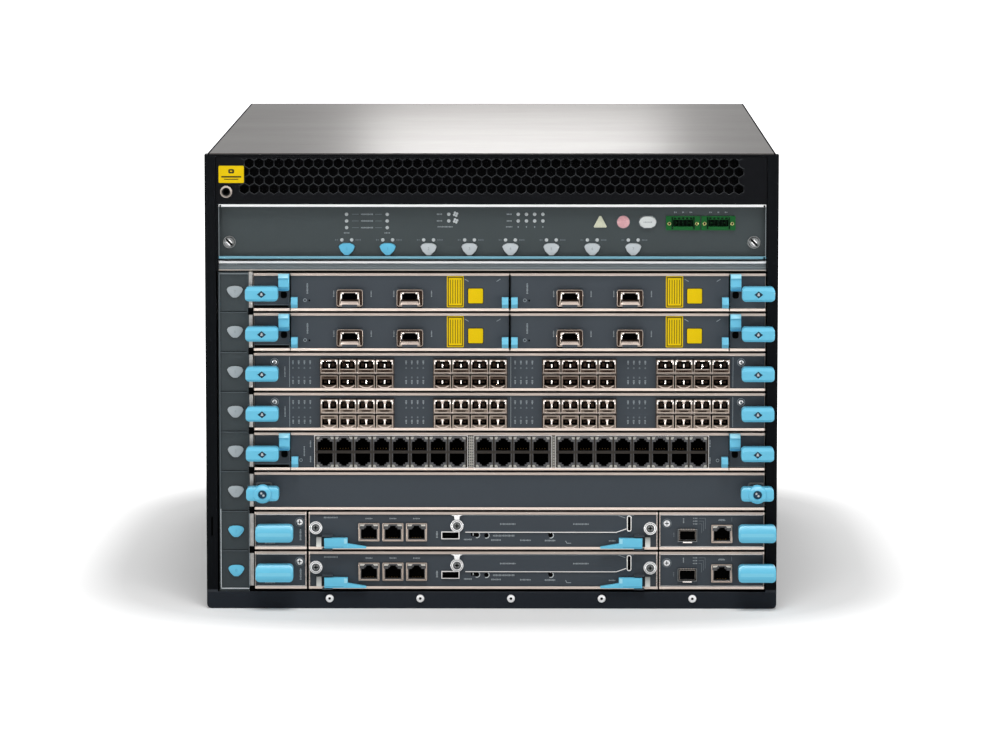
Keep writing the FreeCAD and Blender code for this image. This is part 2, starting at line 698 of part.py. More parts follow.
def carrier(slot):
    """Card that carries plug-in modules on its board, which is cleared around their sockets."""
    z0 = slot_z(slot)
    left = (CARD_X0, MODULE_X0 - PLATE_SPLIT)
    right = (MODULE_X1 + PLATE_SPLIT, CARD_X1)
    pieces = card_board(z0)
    clearing = block(MODULE_X0, MODULE_X1, 0, PORT_DEPTH + 4, z0, z0 + PLATE_HEIGHT)
    pieces[0] = cut(pieces[0], [clearing])
    for x0, x1 in (left, right):
        pieces += [face_channel(x0, x1, z0), plate_foot(x0, x1, z0)]
    tab_z = z0 + TAB_RISE
    pieces.append(blue_tab(left[1] - TAB_WIDTH, left[1], tab_z, tab_z + TAB_HEIGHT))
    pieces.append(blue_tab(right[0], right[0] + TAB_WIDTH, tab_z, tab_z + TAB_HEIGHT))
    return join(*pieces)


def module_pulls(x0, x1, z0):
    low = z0 + PULL_RISE
    return [blue_tab(x0 + 0.8, x0 + 0.8 + PULL_WIDTH, low, low + PULL_HEIGHT),
            blue_tab(x1 - 0.8 - PULL_WIDTH, x1 - 0.8, low, low + PULL_HEIGHT)]


def module_x(side):
    middle = (MODULE_X0 + MODULE_X1) / 2
    return (MODULE_X0, middle - PLATE_SPLIT / 2) if side < 0 else (middle + PLATE_SPLIT / 2, MODULE_X1)


def interface_module(slot, side):
    """Plug-in module with two transceivers in its faceplate and a board behind."""
    z0 = slot_z(slot)
    x0, x1 = module_x(side)
    pieces = [face_channel(x0, x1, z0)] + module_pulls(x0, x1, z0)
    board_z = z0 + BOARD_RISE + BOARD_SHEET + SEAT
    pieces.append(block(x0 + 3, x1 - 3, WEB_BACK - 0.5, MODULE_DEPTH, board_z, board_z + 1.6))
    mouths = []
    width, height, depth = PORT_MOUTH
    for offset in PORT_OFFSETS:
        x = x0 + offset
        low = z0 + PORT_RISE
        pieces.append(block(x - PORT_WIDTH / 2, x + PORT_WIDTH / 2, -PORT_PROUD, PORT_DEPTH,
                            low, low + PORT_HEIGHT))
        pieces.append(block(x - width / 2, x + width / 2, -PORT_PROUD - 2.5, -PORT_PROUD,
                            low + 0.6, low + 2.6))
        z = low + PORT_HEIGHT / 2 + 1
        mouths.append(block(x - width / 2, x + width / 2, -PORT_PROUD - 1, depth - PORT_PROUD,
                            z - height / 2, z + height / 2))
    return cut(join(*pieces), mouths)


def optic_card(slot):
    """Card with four windows for transceivers on both faces of its port board."""
    z0 = slot_z(slot)
    pieces = card_board(z0, PORT_BOARD_END - 2)
    port_z = z0 + PORT_BOARD_RISE
    pieces.append(block(CARD_X0 + 6, CARD_X1 - 6, WEB_BACK - 0.5, PORT_BOARD_END + 2,
                        port_z, port_z + PORT_BOARD_SHEET))
    pieces.append(block(CARD_X0 + 6, CARD_X1 - 6, PORT_BOARD_END - 2, PORT_BOARD_END + 2,
                        z0 + BOARD_RISE, port_z + PORT_BOARD_SHEET))
    pieces.append(face_channel(CARD_X0, CARD_X1, z0))
    span = (OPTIC_COLUMNS - 1) * OPTIC_STEP + OPTIC_FACE
    windows = []
    low, high = OPTIC_RISES[0] - SEAT / 2, OPTIC_RISES[1] + OPTIC_HEIGHT + SEAT / 2
    for x in OPTIC_STARTS:
        windows.append(block(x - SEAT, x + span + SEAT, 0, WEB_BACK, z0 + low, z0 + high))
    return join(*[cut(pieces[-1], windows)] + pieces[:-1])


def optics(slot):
    """Duplex transceivers, two rows of four in each window."""
    z0 = slot_z(slot)
    width, height, depth = OPTIC_MOUTH
    modules = []
    for x in OPTIC_STARTS:
        for column in range(OPTIC_COLUMNS):
            for rise in OPTIC_RISES:
                a = x + column * OPTIC_STEP
                low = z0 + rise
                body = block(a, a + OPTIC_FACE, -OPTIC_PROUD, OPTIC_DEPTH, low, low + OPTIC_HEIGHT)
                middle = a + OPTIC_FACE / 2
                z = low + (OPTIC_HEIGHT - height) / 2
                half = width * SPREAD / 2
                mouth = block(middle - half, middle + half, -OPTIC_PROUD - 1, depth - OPTIC_PROUD, z, z + height)
                modules.append(cut(body, [mouth]))
    return Part.makeCompound(modules)


def jack_span(inset, count):
    """Ends of a block of sockets, set from the module's left end."""
    start = MODULE_X0 + inset * SPREAD
    return start, start + (count - 1) * JACK_STEP + JACK_FACE + 2 * JACK_MARGIN + 1.0


def copper_module(slot):
    """Wide module whose faceplate is open around the blocks of copper sockets."""
    z0 = slot_z(slot)
    x0, x1 = MODULE_X0, MODULE_X1
    plate = face_channel(x0, x1, z0)
    windows = []
    for inset, count in zip(JACK_STARTS, JACK_COUNTS):
        a, b = jack_span(inset, count)
        windows.append(block(a - SEAT, b + SEAT, 0, WEB_BACK,
                             z0 + PLATE_FLANGE, z0 + PLATE_HEIGHT - PLATE_FLANGE))
    board_z = z0 + BOARD_RISE + BOARD_SHEET + SEAT
    back = JACK_DEPTH + SEAT
    pieces = [cut(plate, windows)] + module_pulls(x0, x1, z0)
    pieces.append(block(x0 + 3, x1 - 3, back, MODULE_DEPTH, board_z, board_z + 1.6))
    for a, b in ((x0 + 3, x0 + 15), (x1 - 12, x1 - 3)):
        pieces.append(block(a, b, WEB_BACK - 0.5, back + 0.5, board_z, board_z + 1.6))
    return join(*pieces)


def jack_mouth(x, z, up, width, y0, depth):
    """Cutter of a socket's mouth with the notch for the plug's latch."""
    a, h, k = width / 2, JACK_MOUTH[1], JACK_KEY[0] / 2
    crown = h + JACK_KEY[1]
    outline = [(-a, 0), (a, 0), (a, h), (k, h), (k, crown), (-k, crown), (-k, h), (-a, h)]
    turn = 1 if up else -1
    return prism_y([(x + u, z + turn * v) for u, v in outline], y0, y0 + depth)


def jack_block(slot):
    """Blocks of sockets in two rows, the latch notches turned away from each other."""
    z0 = slot_z(slot) + JACK_RISE
    high = z0 + 2 * JACK_ROW
    middle = (z0 + high) / 2
    blocks = []
    for inset, count in zip(JACK_STARTS, JACK_COUNTS):
        a, b = jack_span(inset, count)
        body = block(a, b, -JACK_PROUD, JACK_DEPTH, z0, high)
        mouths = []
        for k in range(count):
            x = a + JACK_MARGIN + 0.5 + JACK_FACE / 2 + k * JACK_STEP
            for up in (True, False):
                z = middle + (1.1 if up else -1.1)
                mouths.append(jack_mouth(x, z, up, JACK_FACE, -JACK_PROUD - 1, JACK_MOUTH[2]))
        blocks.append(cut(body, mouths))
    return Part.makeCompound(blocks)


def blank_panel(slot):
    """Faceplate of an empty slot with a short stiffening tray behind it."""
    z0 = slot_z(slot)
    tray = block(CARD_X0 + BOARD_INSET, CARD_X1 - BOARD_INSET, WEB_BACK - 0.5, BLANK_DEPTH,
                 z0 + BOARD_RISE, z0 + BOARD_RISE + BOARD_SHEET)
    wall = block(CARD_X0 + 6, CARD_X1 - 6, BLANK_DEPTH - BOARD_SHEET, BLANK_DEPTH,
                 z0 + BOARD_RISE, z0 + PLATE_HEIGHT - 3)
    return join(face_channel(CARD_X0, CARD_X1, z0), tray, wall)


def jack_shell(x, low):
    """Metal shell of a single copper socket, standing through a faceplate."""
    width, height = ENGINE_JACK
    return block(x - width / 2, x + width / 2, PLATE_SET - 0.6, SHELL_DEPTH, low, low + height)


def shell_mouth(x, low):
    return jack_mouth(x, low + 2.2, True, JACK_MOUTH[0], 0, SHELL_DEPTH - 8)


def fabric_card(slot):
    """Card with two end sections and runners for a routing engine between them."""
    z0 = slot_z(slot)
    left = (CARD_X0, ENGINE_X0 - FABRIC_LEFT_GAP)
    right = (ENGINE_X1 + FABRIC_RIGHT_GAP, CARD_X1)
    pieces = card_board(z0)
    for x in (ENGINE_X0 + RUNNER_INSET, ENGINE_X1 - RUNNER_INSET - RUNNER_WIDTH):
        pieces.append(block(x, x + RUNNER_WIDTH, BOARD_START, ENGINE_DEPTH,
                            z0 + BOARD_RISE + BOARD_SHEET - 0.5, z0 + ENGINE_BOARD_RISE - SEAT))
    for x0, x1 in (left, right):
        pieces += [face_channel(x0, x1, z0, rimmed=True), plate_foot(x0, x1, z0)]
    width, height = CAGE_SIZE
    low = z0 + CAGE_RISE
    cage_x = CARD_X1 - CAGE_FROM_RIGHT
    pieces.append(block(cage_x - width / 2, cage_x + width / 2, PLATE_SET - 1, CAGE_DEPTH, low, low + height))
    jack_x = CARD_X1 - SIDE_JACK_FROM_RIGHT
    jack_low = z0 + SIDE_JACK_RISE
    pieces.append(jack_shell(jack_x, jack_low))
    mouths = [block(cage_x - width / 2 + 1, cage_x + width / 2 - 1, 0, CAGE_DEPTH - 4,
                    low + 1, low + height - 1),
              shell_mouth(jack_x, jack_low)]
    return cut(join(*pieces), mouths)


def lever_pivots():
    """Pivot places of the two ejector levers, with the way each one points."""
    return ((ENGINE_X0 + 12.2 + LEVER_PIVOT, 1), (ENGINE_X1 - 12.1 - LEVER_PIVOT, -1))


def routing_engine(slot):
    """Slide-in unit with sockets, a flush storage door and a pair of lugs for each lever."""
    z0 = slot_z(slot)
    x0, x1 = ENGINE_X0, ENGINE_X1
    pieces = [face_channel(x0, x1, z0, rimmed=True)]
    board_z = z0 + ENGINE_BOARD_RISE
    pieces.append(block(x0 + 4, x1 - 4, WEB_BACK - 0.5, ENGINE_DEPTH, board_z, board_z + 1.6))
    mouths = []
    low = z0 + ENGINE_JACK_RISE
    for inset in ENGINE_JACKS:
        pieces.append(jack_shell(x0 + inset, low))
        mouths.append(shell_mouth(x0 + inset, low))
    usb_w, usb_h = USB_SIZE
    usb_x, usb_z = x0 + USB_FROM_LEFT, z0 + USB_RISE
    pieces.append(block(usb_x - usb_w / 2, usb_x + usb_w / 2, PLATE_SET, USB_DEPTH + 3,
                        usb_z - usb_h / 2, usb_z + usb_h / 2))
    a, b = usb_w / 2 - 0.7, usb_h / 2 - 0.6
    mouths.append(block(usb_x - a, usb_x + a, 0, USB_DEPTH, usb_z - b, usb_z + b))
    d0, d1 = x0 + DOOR_ENDS[0], x1 - DOOR_ENDS[1]
    b0, b1 = z0 + DOOR_RISE[0], z0 + DOOR_RISE[1]
    run, rise = DOOR_SLOPE
    pieces.append(prism_y([(d0, b0), (d1 - run, b0), (d1, b0 + rise), (d1, b1), (d0, b1)],
                          WEB_Y - DOOR_PROUD, WEB_Y + 0.5))
    for pivot, way in lever_pivots():
        lugs = [(z0 + LEVER_RISE - SEAT - 1.0, z0 + LEVER_RISE - SEAT),
                (z0 + LEVER_RISE + LEVER_HEIGHT + SEAT, z0 + LEVER_RISE + LEVER_HEIGHT + SEAT + 1.0)]
        a, b = sorted((pivot - way * 5.0, pivot + way * 3.0))
        pieces += [block(a, b, LEVER_Y - 2.8, WEB_Y + 0.5, c, d) for c, d in lugs]
        back0, back1 = sorted((pivot - way * 9.6, pivot - way * 5.7))
        pieces.append(block(back0, back1, -1.5, WEB_Y + 0.5, z0 + PLATE_FLANGE + 0.3, z0 + 10.0))
    return cut(join(*pieces), mouths)


def engine_lever(slot, which):
    """Ejector lever with a round eye between its lugs, a deep block that runs out into a tail."""
    pivot, way = lever_pivots()[which]
    z0 = slot_z(slot) + LEVER_RISE
    z1 = z0 + LEVER_HEIGHT
    half = LEVER_THICK / 2
    y0, y1 = LEVER_Y - half, LEVER_Y + half
    a, b = sorted((pivot, pivot + way * (LEVER_BLOCK - LEVER_PIVOT)))
    c, d = sorted((pivot + way * (LEVER_BLOCK - LEVER_PIVOT - 1), pivot + way * (LEVER_LENGTH - LEVER_PIVOT)))
    eye = rod_z(pivot, LEVER_Y, half, z0, z1)
    return join(eye, block(a, b, y0, y1, z0, z1), block(c, d, y0, y0 + 4.0, z0, z0 + LEVER_TAIL))


# Turning handles


def knob_place(slot, from_left, from_right, side):
    return (CARD_X0 + from_left if side < 0 else CARD_X1 - from_right), slot_z(slot) + KNOB_RISE


def drafted_bar(outline, x, z):
    """Bar of a turning handle, a little smaller at its front than at its back."""
    front = [Vector(x + u * KNOB_DRAFT, KNOB_FRONT, z + v * KNOB_DRAFT) for u, v in outline]
    back = [Vector(x + u, KNOB_BACK, z + v) for u, v in outline]
    rings = [front, back]
    for k in range(len(outline)):
        rings.append([front[k - 1], front[k], back[k], back[k - 1]])
    faces = [Part.Face(Part.makePolygon(corners + corners[:1])) for corners in rings]
    return Part.makeSolid(Part.makeShell(faces))


def neck(x, z, back):
    """Square neck behind the bar, with its corners to the sides."""
    r = KNOB_HUB
    return prism_y([(x - r, z), (x, z - r), (x + r, z), (x, z + r)], KNOB_BACK - 1, back)


def screw_end(x, z, y0, y1):
    """Round end of the jack screw with two flats."""
    flats = block(x - KNOB_PIN, x + KNOB_PIN, y0, y1, z - KNOB_PIN / 2, z + KNOB_PIN / 2)
    return rod_y(x, z, KNOB_PIN, y0, y1).common(flats)


def knob(slot, side):
    """Bar of a card's jack screw, with the screw's pin standing in a diamond recess."""
    x, z = knob_place(slot, KNOB_FROM_LEFT, KNOB_FROM_RIGHT, side)
    bar = drafted_bar(octagon(0, 0, KNOB_LENGTH, KNOB_HEIGHT, 3.2), x, z)
    floor = KNOB_FRONT + KNOB_RECESS
    diamond = prism_y([(x - 3.4, z), (x, z - 3.4), (x + 3.4, z), (x, z + 3.4)], KNOB_FRONT - 1, floor)
    turned = cut(join(bar, neck(x, z, WEB_Y - SEAT)), [diamond])
    return join(turned, screw_end(x, z, floor - 1.6, floor + 0.5))


def bulged_knob(slot, side):
    """Knob with a round swelling about its screw."""
    x, z = knob_place(slot, KNOB_FROM_LEFT, KNOB_FROM_RIGHT, side)
    bar = drafted_bar(octagon(0, 0, KNOB_LENGTH, KNOB_HEIGHT, 3.2), x, z)
    swell = prism_y(ring(x, z, KNOB_BULGE, 12), KNOB_FRONT - 0.5, KNOB_BACK)
    floor = KNOB_FRONT + KNOB_RECESS
    dish = prism_y(ring(x, z, 3.4, 8), KNOB_FRONT - 1, floor)
    turned = cut(join(bar, swell, neck(x, z, WEB_Y - SEAT)), [dish])
    return join(turned, screw_end(x, z, floor - 1.6, floor + 0.5))


def grip(slot, side):
    """Barrel-shaped handle of a fabric card, on a neck with the end of its screw."""
    x, z = knob_place(slot, GRIP_FROM_LEFT, GRIP_FROM_RIGHT, side)
    a, b = GRIP_LENGTH / 2, GRIP_HEIGHT / 2
    outline = [(-a, -b + 3.6), (-a + 3, -b + GRIP_CROWN), (0, -b), (a - 3, -b + GRIP_CROWN), (a, -b + 3.6),
               (a, b - 3.6), (a - 3, b - GRIP_CROWN), (0, b), (-a + 3, b - GRIP_CROWN), (-a, b - 3.6)]
    back = WEB_Y - SEAT
    return join(drafted_bar(outline, x, z), neck(x, z, back - 1.5), screw_end(x, z, back - 2, back))


# Slide-in units


def bow_handle(x, z, length, y, across_x):
    """Square-cut bow handle standing on a rear plate, along x or along z."""
    a, r, t = length / 2, HANDLE_REACH, HANDLE_BAR
    outline = [(-a, 0), (-a, r - 4), (-a + 4, r), (a - 4, r), (a, r - 4), (a, 0), (a - t, 0),
               (a - t, r - t), (-a + t, r - t), (-a + t, 0)]
    if across_x:
        return prism_z([(x + u, y + v) for u, v in outline], z - 5, z + 5)
    return prism_x([(y + v, z + u) for u, v in outline], x - 5, x + 5)


def supply_x(k):
    """Left side of a power supply, counted from the left seen from the front."""
    return SUPPLY_SIDE_GAP - INSIDE + k * SUPPLY_PITCH


def power_supply(k):
    """Sealed power supply with an inlet, a rocker switch and a handle at the rear."""
    x0 = supply_x(k)
    x1 = x0 + SUPPLY_WIDTH
    z0, z1 = SUPPLY_Z, SUPPLY_TOP
    y1 = REAR_Y + REAR_SHEET
    case = block(x0, x1, REAR_Y - SUPPLY_DEPTH, y1, z0, z1)
    across, drop = SUPPLY_HANDLE_PLACE
    handle = bow_handle(x0 + across, z1 - drop, SUPPLY_HANDLE, y1, True)
    width, height = ROCKER
    across, rise = ROCKER_PLACE
    a, low = x1 - across - width, z0 + rise
    switch = prism_x([(y1 - 0.5, low), (y1 + 2.5, low), (y1 + 1.2, low + height / 2),
                      (y1 + 3.5, low + height), (y1 - 0.5, low + height)], a, a + width)
    width, height, depth = INLET
    across, rise = INLET_PLACE
    a, low = x0 + across, z0 + rise
    inlet = block(a, a + width, y1 - depth, y1 + 1, low, low + height)
    return cut(join(case, handle, switch), [inlet])


def fan_places():
    tray_height = FAN_TOP - PLATE_Z0
    z_step = (tray_height - 4) / FAN_ROWS
    for column in range(FAN_COLUMNS):
        for row in range(FAN_ROWS):
            yield (FAN_TRAY_START + 3 + FAN_SIZE / 2 + column * (FAN_SIZE + 1),
                   PLATE_Z0 + 2 + z_step * (row + 0.5))


def rotor(y, z, x0, x1):
    """Ten-sided hub with pitched blades standing on every other flat."""
    core = prism_x(ring(y, z, FAN_HUB / 2, 2 * FAN_BLADES), x0, x1)
    root = FAN_HUB / 2 * math.cos(math.pi / (2 * FAN_BLADES))
    blades = []
    for k in range(FAN_BLADES):
        blade = block(-1.0, 1.0, -FAN_CHORD / 2, FAN_CHORD / 2, root, FAN_BORE / 2 - FAN_TIP)
        blade.rotate(Vector(0, 0, 0), Vector(0, 0, 1), FAN_PITCH)
        blade.rotate(Vector(0, 0, 0), Vector(1, 0, 0), 360 / FAN_BLADES * k)
        blade.translate(Vector((x0 + x1) / 2, y, z))
        blades.append(blade)
    return [core] + blades


def fan_tray():
    """Vertical tray with six axial fans, drawn out by a handle at the rear."""
    x0, x1 = FAN_X0, FAN_X0 + FAN_TRAY_WIDTH
    y0, y1 = FAN_TRAY_START, REAR_Y + REAR_SHEET
    z0, z1 = PLATE_Z0, FAN_TOP
    fans_end = y0 + 3 + FAN_COLUMNS * (FAN_SIZE + 1)
    frame = block(x0, x1, y0, fans_end, z0, z1)
    ducts, struts, rotors = [], [], []
    for y, z in fan_places():
        ducts.append(prism_x(ring(y, z, FAN_BORE / 2, 12), x0 - 1, x1 + 1))
        reach = FAN_BORE / 2 + 1
        struts.append(block(x0, x0 + 3, y - 5, y + 5, z - reach, z + reach))
        rotors += rotor(y, z, x0 + 3, x1 - 2)
    bay = block(x0, x1, fans_end, y1, z0, z1)
    handle = bow_handle((x0 + x1) / 2, (z0 + z1) / 2, TRAY_HANDLE, y1, False)
    carried = join(cut(frame, ducts), *struts, bay, handle)
    return Part.makeCompound([carried] + rotors)


def main():
    os.makedirs("parts", exist_ok=True)
    pieces = {
        "base_pan": base_pan(),
        "side_wall_left": side_wall(-1),
        "side_wall_right": side_wall(1),
        "top_cover": top_cover(),
        "front_bezel": front_bezel(),
        "intake_grille": intake_grille(),
        "cage_shelf": cage_shelf(),
        "midplane": midplane(),
        "card_guides": Part.makeCompound(card_guide(-1) + card_guide(1)),
        "cage_rails": cage_rails(),
        "slot_strip": slot_strip(),
        "rear_panel": rear_panel(),
        "craft_panel": craft_panel(),
        "slot_buttons": slot_buttons(),
        "alarm_button": alarm_button(),
        "alarm_sockets": alarm_sockets(),
        "wrist_socket": wrist_socket(),
        "fan_tray": fan_tray(),
        "copper_module_5": copper_module(5),
        "jack_block_5": jack_block(5),
        "blank_panel_6": blank_panel(6),
    }
    for slot in (1, 2, 5):
        pieces[f"carrier_{slot}"] = carrier(slot)
    for slot in (1, 2):
        pieces[f"module_{slot}_left"] = interface_module(slot, -1)
        pieces[f"module_{slot}_right"] = interface_module(slot, 1)
    for slot in (3, 4):
        pieces[f"optic_card_{slot}"] = optic_card(slot)
        pieces[f"optics_{slot}"] = optics(slot)
    for slot in (7, 8):
        pieces[f"fabric_card_{slot}"] = fabric_card(slot)
        pieces[f"routing_engine_{slot}"] = routing_engine(slot)
        for which, side in enumerate(("left", "right")):
            pieces[f"lever_{slot}_{side}"] = engine_lever(slot, which)
    for name, side in (("left", -1), ("right", 1)):
        for slot in (1, 2, 3, 4, 5):
            pieces[f"knob_{slot}_{name}"] = knob(slot, side)
        pieces[f"knob_6_{name}"] = bulged_knob(6, side)
        for slot in (7, 8):
            pieces[f"handle_{slot}_{name}"] = grip(slot, side)
    for k in range(SUPPLIES):
        pieces[f"power_supply_{k + 1}"] = power_supply(k)
    for name, shape in pieces.items():
        save(name, shape)


main()
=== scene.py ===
import logging
import math
from dataclasses import dataclass, field
from enum import Enum
from typing import Iterable, Sequence, Union

import bmesh
import bpy
from mathutils import Matrix, Vector


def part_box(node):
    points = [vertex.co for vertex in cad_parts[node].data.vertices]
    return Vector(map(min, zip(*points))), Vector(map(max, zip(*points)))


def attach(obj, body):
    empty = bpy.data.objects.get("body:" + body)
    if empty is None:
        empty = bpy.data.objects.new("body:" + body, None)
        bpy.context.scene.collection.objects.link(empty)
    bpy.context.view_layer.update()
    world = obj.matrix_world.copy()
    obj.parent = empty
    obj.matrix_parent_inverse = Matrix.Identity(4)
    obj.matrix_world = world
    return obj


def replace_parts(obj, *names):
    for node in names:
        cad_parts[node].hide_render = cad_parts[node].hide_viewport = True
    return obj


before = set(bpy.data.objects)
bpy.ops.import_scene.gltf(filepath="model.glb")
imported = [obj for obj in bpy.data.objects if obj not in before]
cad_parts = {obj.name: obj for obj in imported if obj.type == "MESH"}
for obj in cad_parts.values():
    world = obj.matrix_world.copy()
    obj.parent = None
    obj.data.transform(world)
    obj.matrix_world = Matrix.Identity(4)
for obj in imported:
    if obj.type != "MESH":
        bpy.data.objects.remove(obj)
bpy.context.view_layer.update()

log = logging.getLogger("chassis")

# Lengths are millimetres with the front plane at y = 0; TO_SCENE brings them to the frame's metres.
DEPTH_MIDDLE = 311.0
TO_SCENE = Matrix.Translation((0.0, -DEPTH_MIDDLE / 1000, 0.0)) @ Matrix.Scale(0.001, 4)
SLOTS = 8
SLOT_PITCH = 31.13
PLATE_Z0 = 15.2
PLATE_HEIGHT = 29.3
WEB = 3.2
LIP = 2.0
CARD_X0 = -184.6
CARD_X1 = 212.4
CRAFT_FACE = 6.4
PRINT = (WEB - 0.05, WEB)
CRAFT_PRINT = (CRAFT_FACE - 0.04, CRAFT_FACE)

Outline = list[tuple[float, float]]
Span = Union[float, Sequence[float]]
Number = Union[float, "Value"]
Colour = tuple[float, float, float]


def slot_z(slot: int) -> float:
    """Underside of the faceplate in a slot, counted from the top."""
    return PLATE_Z0 + (SLOTS - slot) * SLOT_PITCH


def tint(red: float, green: float, blue: float) -> Colour:
    """A colour given as it is seen, 0 to 255, turned into the linear values of a shader."""
    seen = (c / 255 for c in (red, green, blue))
    return tuple(c / 12.92 if c < 0.04045 else ((c + 0.055) / 1.055) ** 2.4 for c in seen)


def scaled(colour: Colour, by: float) -> Colour:
    """A colour made lighter or darker."""
    return tuple(min(1.0, c * by) for c in colour)


# Shader maths


class Value:
    """A number socket that takes part in Python expressions."""

    def __init__(self, graph: "Graph", socket: bpy.types.NodeSocket) -> None:
        """Wraps a socket of a graph."""
        self.graph = graph
        self.socket = socket

    def _math(self, operation: str, first: Number, second: Number = 0.0, clamp: bool = False) -> "Value":
        """Adds one Math node and wraps its result."""
        settings = {"operation": operation, "use_clamp": clamp}
        made = self.graph.node("ShaderNodeMath", settings, {0: first, 1: second})
        return Value(self.graph, made.outputs[0])

    def __add__(self, other: Number) -> "Value":
        """Sum."""
        return self._math("ADD", self, other)

    def __radd__(self, other: Number) -> "Value":
        """Sum with a plain number first."""
        return self._math("ADD", other, self)

    def __sub__(self, other: Number) -> "Value":
        """Difference."""
        return self._math("SUBTRACT", self, other)

    def __rsub__(self, other: Number) -> "Value":
        """Difference with a plain number first."""
        return self._math("SUBTRACT", other, self)

    def __mul__(self, other: Number) -> "Value":
        """Product."""
        return self._math("MULTIPLY", self, other)

    def __rmul__(self, other: Number) -> "Value":
        """Product with a plain number first."""
        return self._math("MULTIPLY", other, self)

    def __truediv__(self, other: Number) -> "Value":
        """Quotient."""
        return self._math("DIVIDE", self, other)

    def __mod__(self, other: Number) -> "Value":
        """Remainder that stays positive."""
        return self._math("FLOORED_MODULO", self, other)

    def __abs__(self) -> "Value":
        """Size without sign."""
        return self._math("ABSOLUTE", self)

    def rise(self, edge: float, soft: float) -> "Value":
        """A mask that goes from 0 to 1 where the value passes an edge."""
        return self._math("ADD", (self - edge) / soft, 0.5, clamp=True)

    def inside(self, low: float, high: float, soft: float = 0.1) -> "Value":
        """A mask that is 1 between two edges."""
        return self.rise(low, soft) * (1.0 - self.rise(high, soft))

    def either(self, other: "Value") -> "Value":
        """The larger of two masks."""
        return self._math("MAXIMUM", self, other)


class Graph:
    """The node tree of a material or of the world."""

    def __init__(self, owner: bpy.types.Material | bpy.types.World) -> None:
        """Starts from the owner's Principled or Background shader."""
        owner.use_nodes = True
        self.tree = owner.node_tree
        self.shader = self.tree.nodes.get("Principled BSDF") or self.tree.nodes["Background"]
        self.where: bpy.types.NodeSocket | None = None

    def node(self, kind: str, settings: dict | None = None, inputs: dict | None = None) -> bpy.types.Node:
        """Adds a node.

        Args:
            kind: the node's type.
            settings: its properties, set before its sockets are used.
            inputs: values or links of its sockets, by name or place.

        Returns:
            The node.
        """
        made = self.tree.nodes.new(kind)
        for key, value in (settings or {}).items():
            setattr(made, key, value)
        for key, value in (inputs or {}).items():
            self.feed(made.inputs[key], value)
        return made

    def feed(self, socket: bpy.types.NodeSocket, value: object) -> None:
        """Links a socket, or sets its value.

        Args:
            socket: the socket that takes the value.
            value: a Value, an output socket, a number, a vector or a colour.
        """
        if isinstance(value, Value):
            value = value.socket
        if isinstance(value, bpy.types.NodeSocket):
            self.tree.links.new(value, socket)
        elif socket.type == "RGBA" and len(value) == 3:
            socket.default_value = (*value, 1.0)
        else:
            socket.default_value = value

    def spot(self) -> bpy.types.NodeSocket:
        """Object coordinates, from one shared node."""
        if self.where is None:
            self.where = self.node("ShaderNodeTexCoord").outputs["Object"]
        return self.where

    def place(self) -> tuple[Value, Value, Value]:
        """Place on the object in build millimetres."""
        split = self.node("ShaderNodeSeparateXYZ", {}, {0: self.spot()})
        x, y, z = (Value(self, s) * 1000.0 for s in split.outputs)
        return x, y + DEPTH_MIDDLE, z

    def noise(self, size: float, detail: float = 2.0, stretch: Sequence[float] = (1, 1, 1)) -> Value:
        """Soft noise from 0 to 1.

        Args:
            size: width of its spots in millimetres.
            detail: number of finer layers.
            stretch: how much longer the spots are along each axis.

        Returns:
            The noise.
        """
        scale = tuple(1.0 / s for s in stretch)
        turned = self.node("ShaderNodeMapping", {}, {"Vector": self.spot(), "Scale": scale})
        made = self.node("ShaderNodeTexNoise", {},
                         {"Vector": turned.outputs[0], "Scale": 1000.0 / size, "Detail": detail})
        return Value(self, made.outputs[0])

    def mix(self, mask: Number, first: object, second: object) -> bpy.types.NodeSocket:
        """A colour that goes from the first to the second as the mask goes from 0 to 1."""
        made = self.node("ShaderNodeMix", {"data_type": "RGBA"}, {0: mask, 6: first, 7: second})
        return made.outputs[2]

    def vary(self, colour: Colour, mask: Value, amount: float) -> bpy.types.NodeSocket:
        """A colour that is lighter where the mask is 1 and darker where it is 0."""
        return self.mix(mask, scaled(colour, 1 - amount), scaled(colour, 1 + amount))

    def bump(self, height: Value, depth: float) -> None:
        """Relief of the surface, depth in millimetres."""
        made = self.node("ShaderNodeBump", {}, {"Height": height, "Distance": depth / 1000, "Strength": 1.0})
        self.surface(Normal=made.outputs[0])

    def output(self, shader: bpy.types.Node) -> None:
        """Puts another shader in front of the material's output."""
        self.feed(self.tree.nodes["Material Output"].inputs["Surface"], shader.outputs[0])

    def surface(self, **inputs: object) -> None:
        """Feeds sockets of the main shader, whose names are written with underscores."""
        for key, value in inputs.items():
            self.feed(self.shader.inputs[key.replace("_", " ")], value)


# Finishes


class Grain(Enum):
    """Direction in which a metal is brushed."""

    NONE = (1, 1, 1)
    ALONG_X = (40, 1, 1)


@dataclass(frozen=True)
class Finish:
    """A finish, and the record's material slot that it stands for."""

    name: str
    slot: str

    def draw(self, graph: Graph) -> None:
        """Draws the finish's nodes."""

    def material(self) -> bpy.types.Material:
        """The material of this finish, made at its first use."""
        found = bpy.data.materials.get(self.name)
        if found is None:
            found = bpy.data.materials.new(self.name)
            self.draw(Graph(found))
        return found


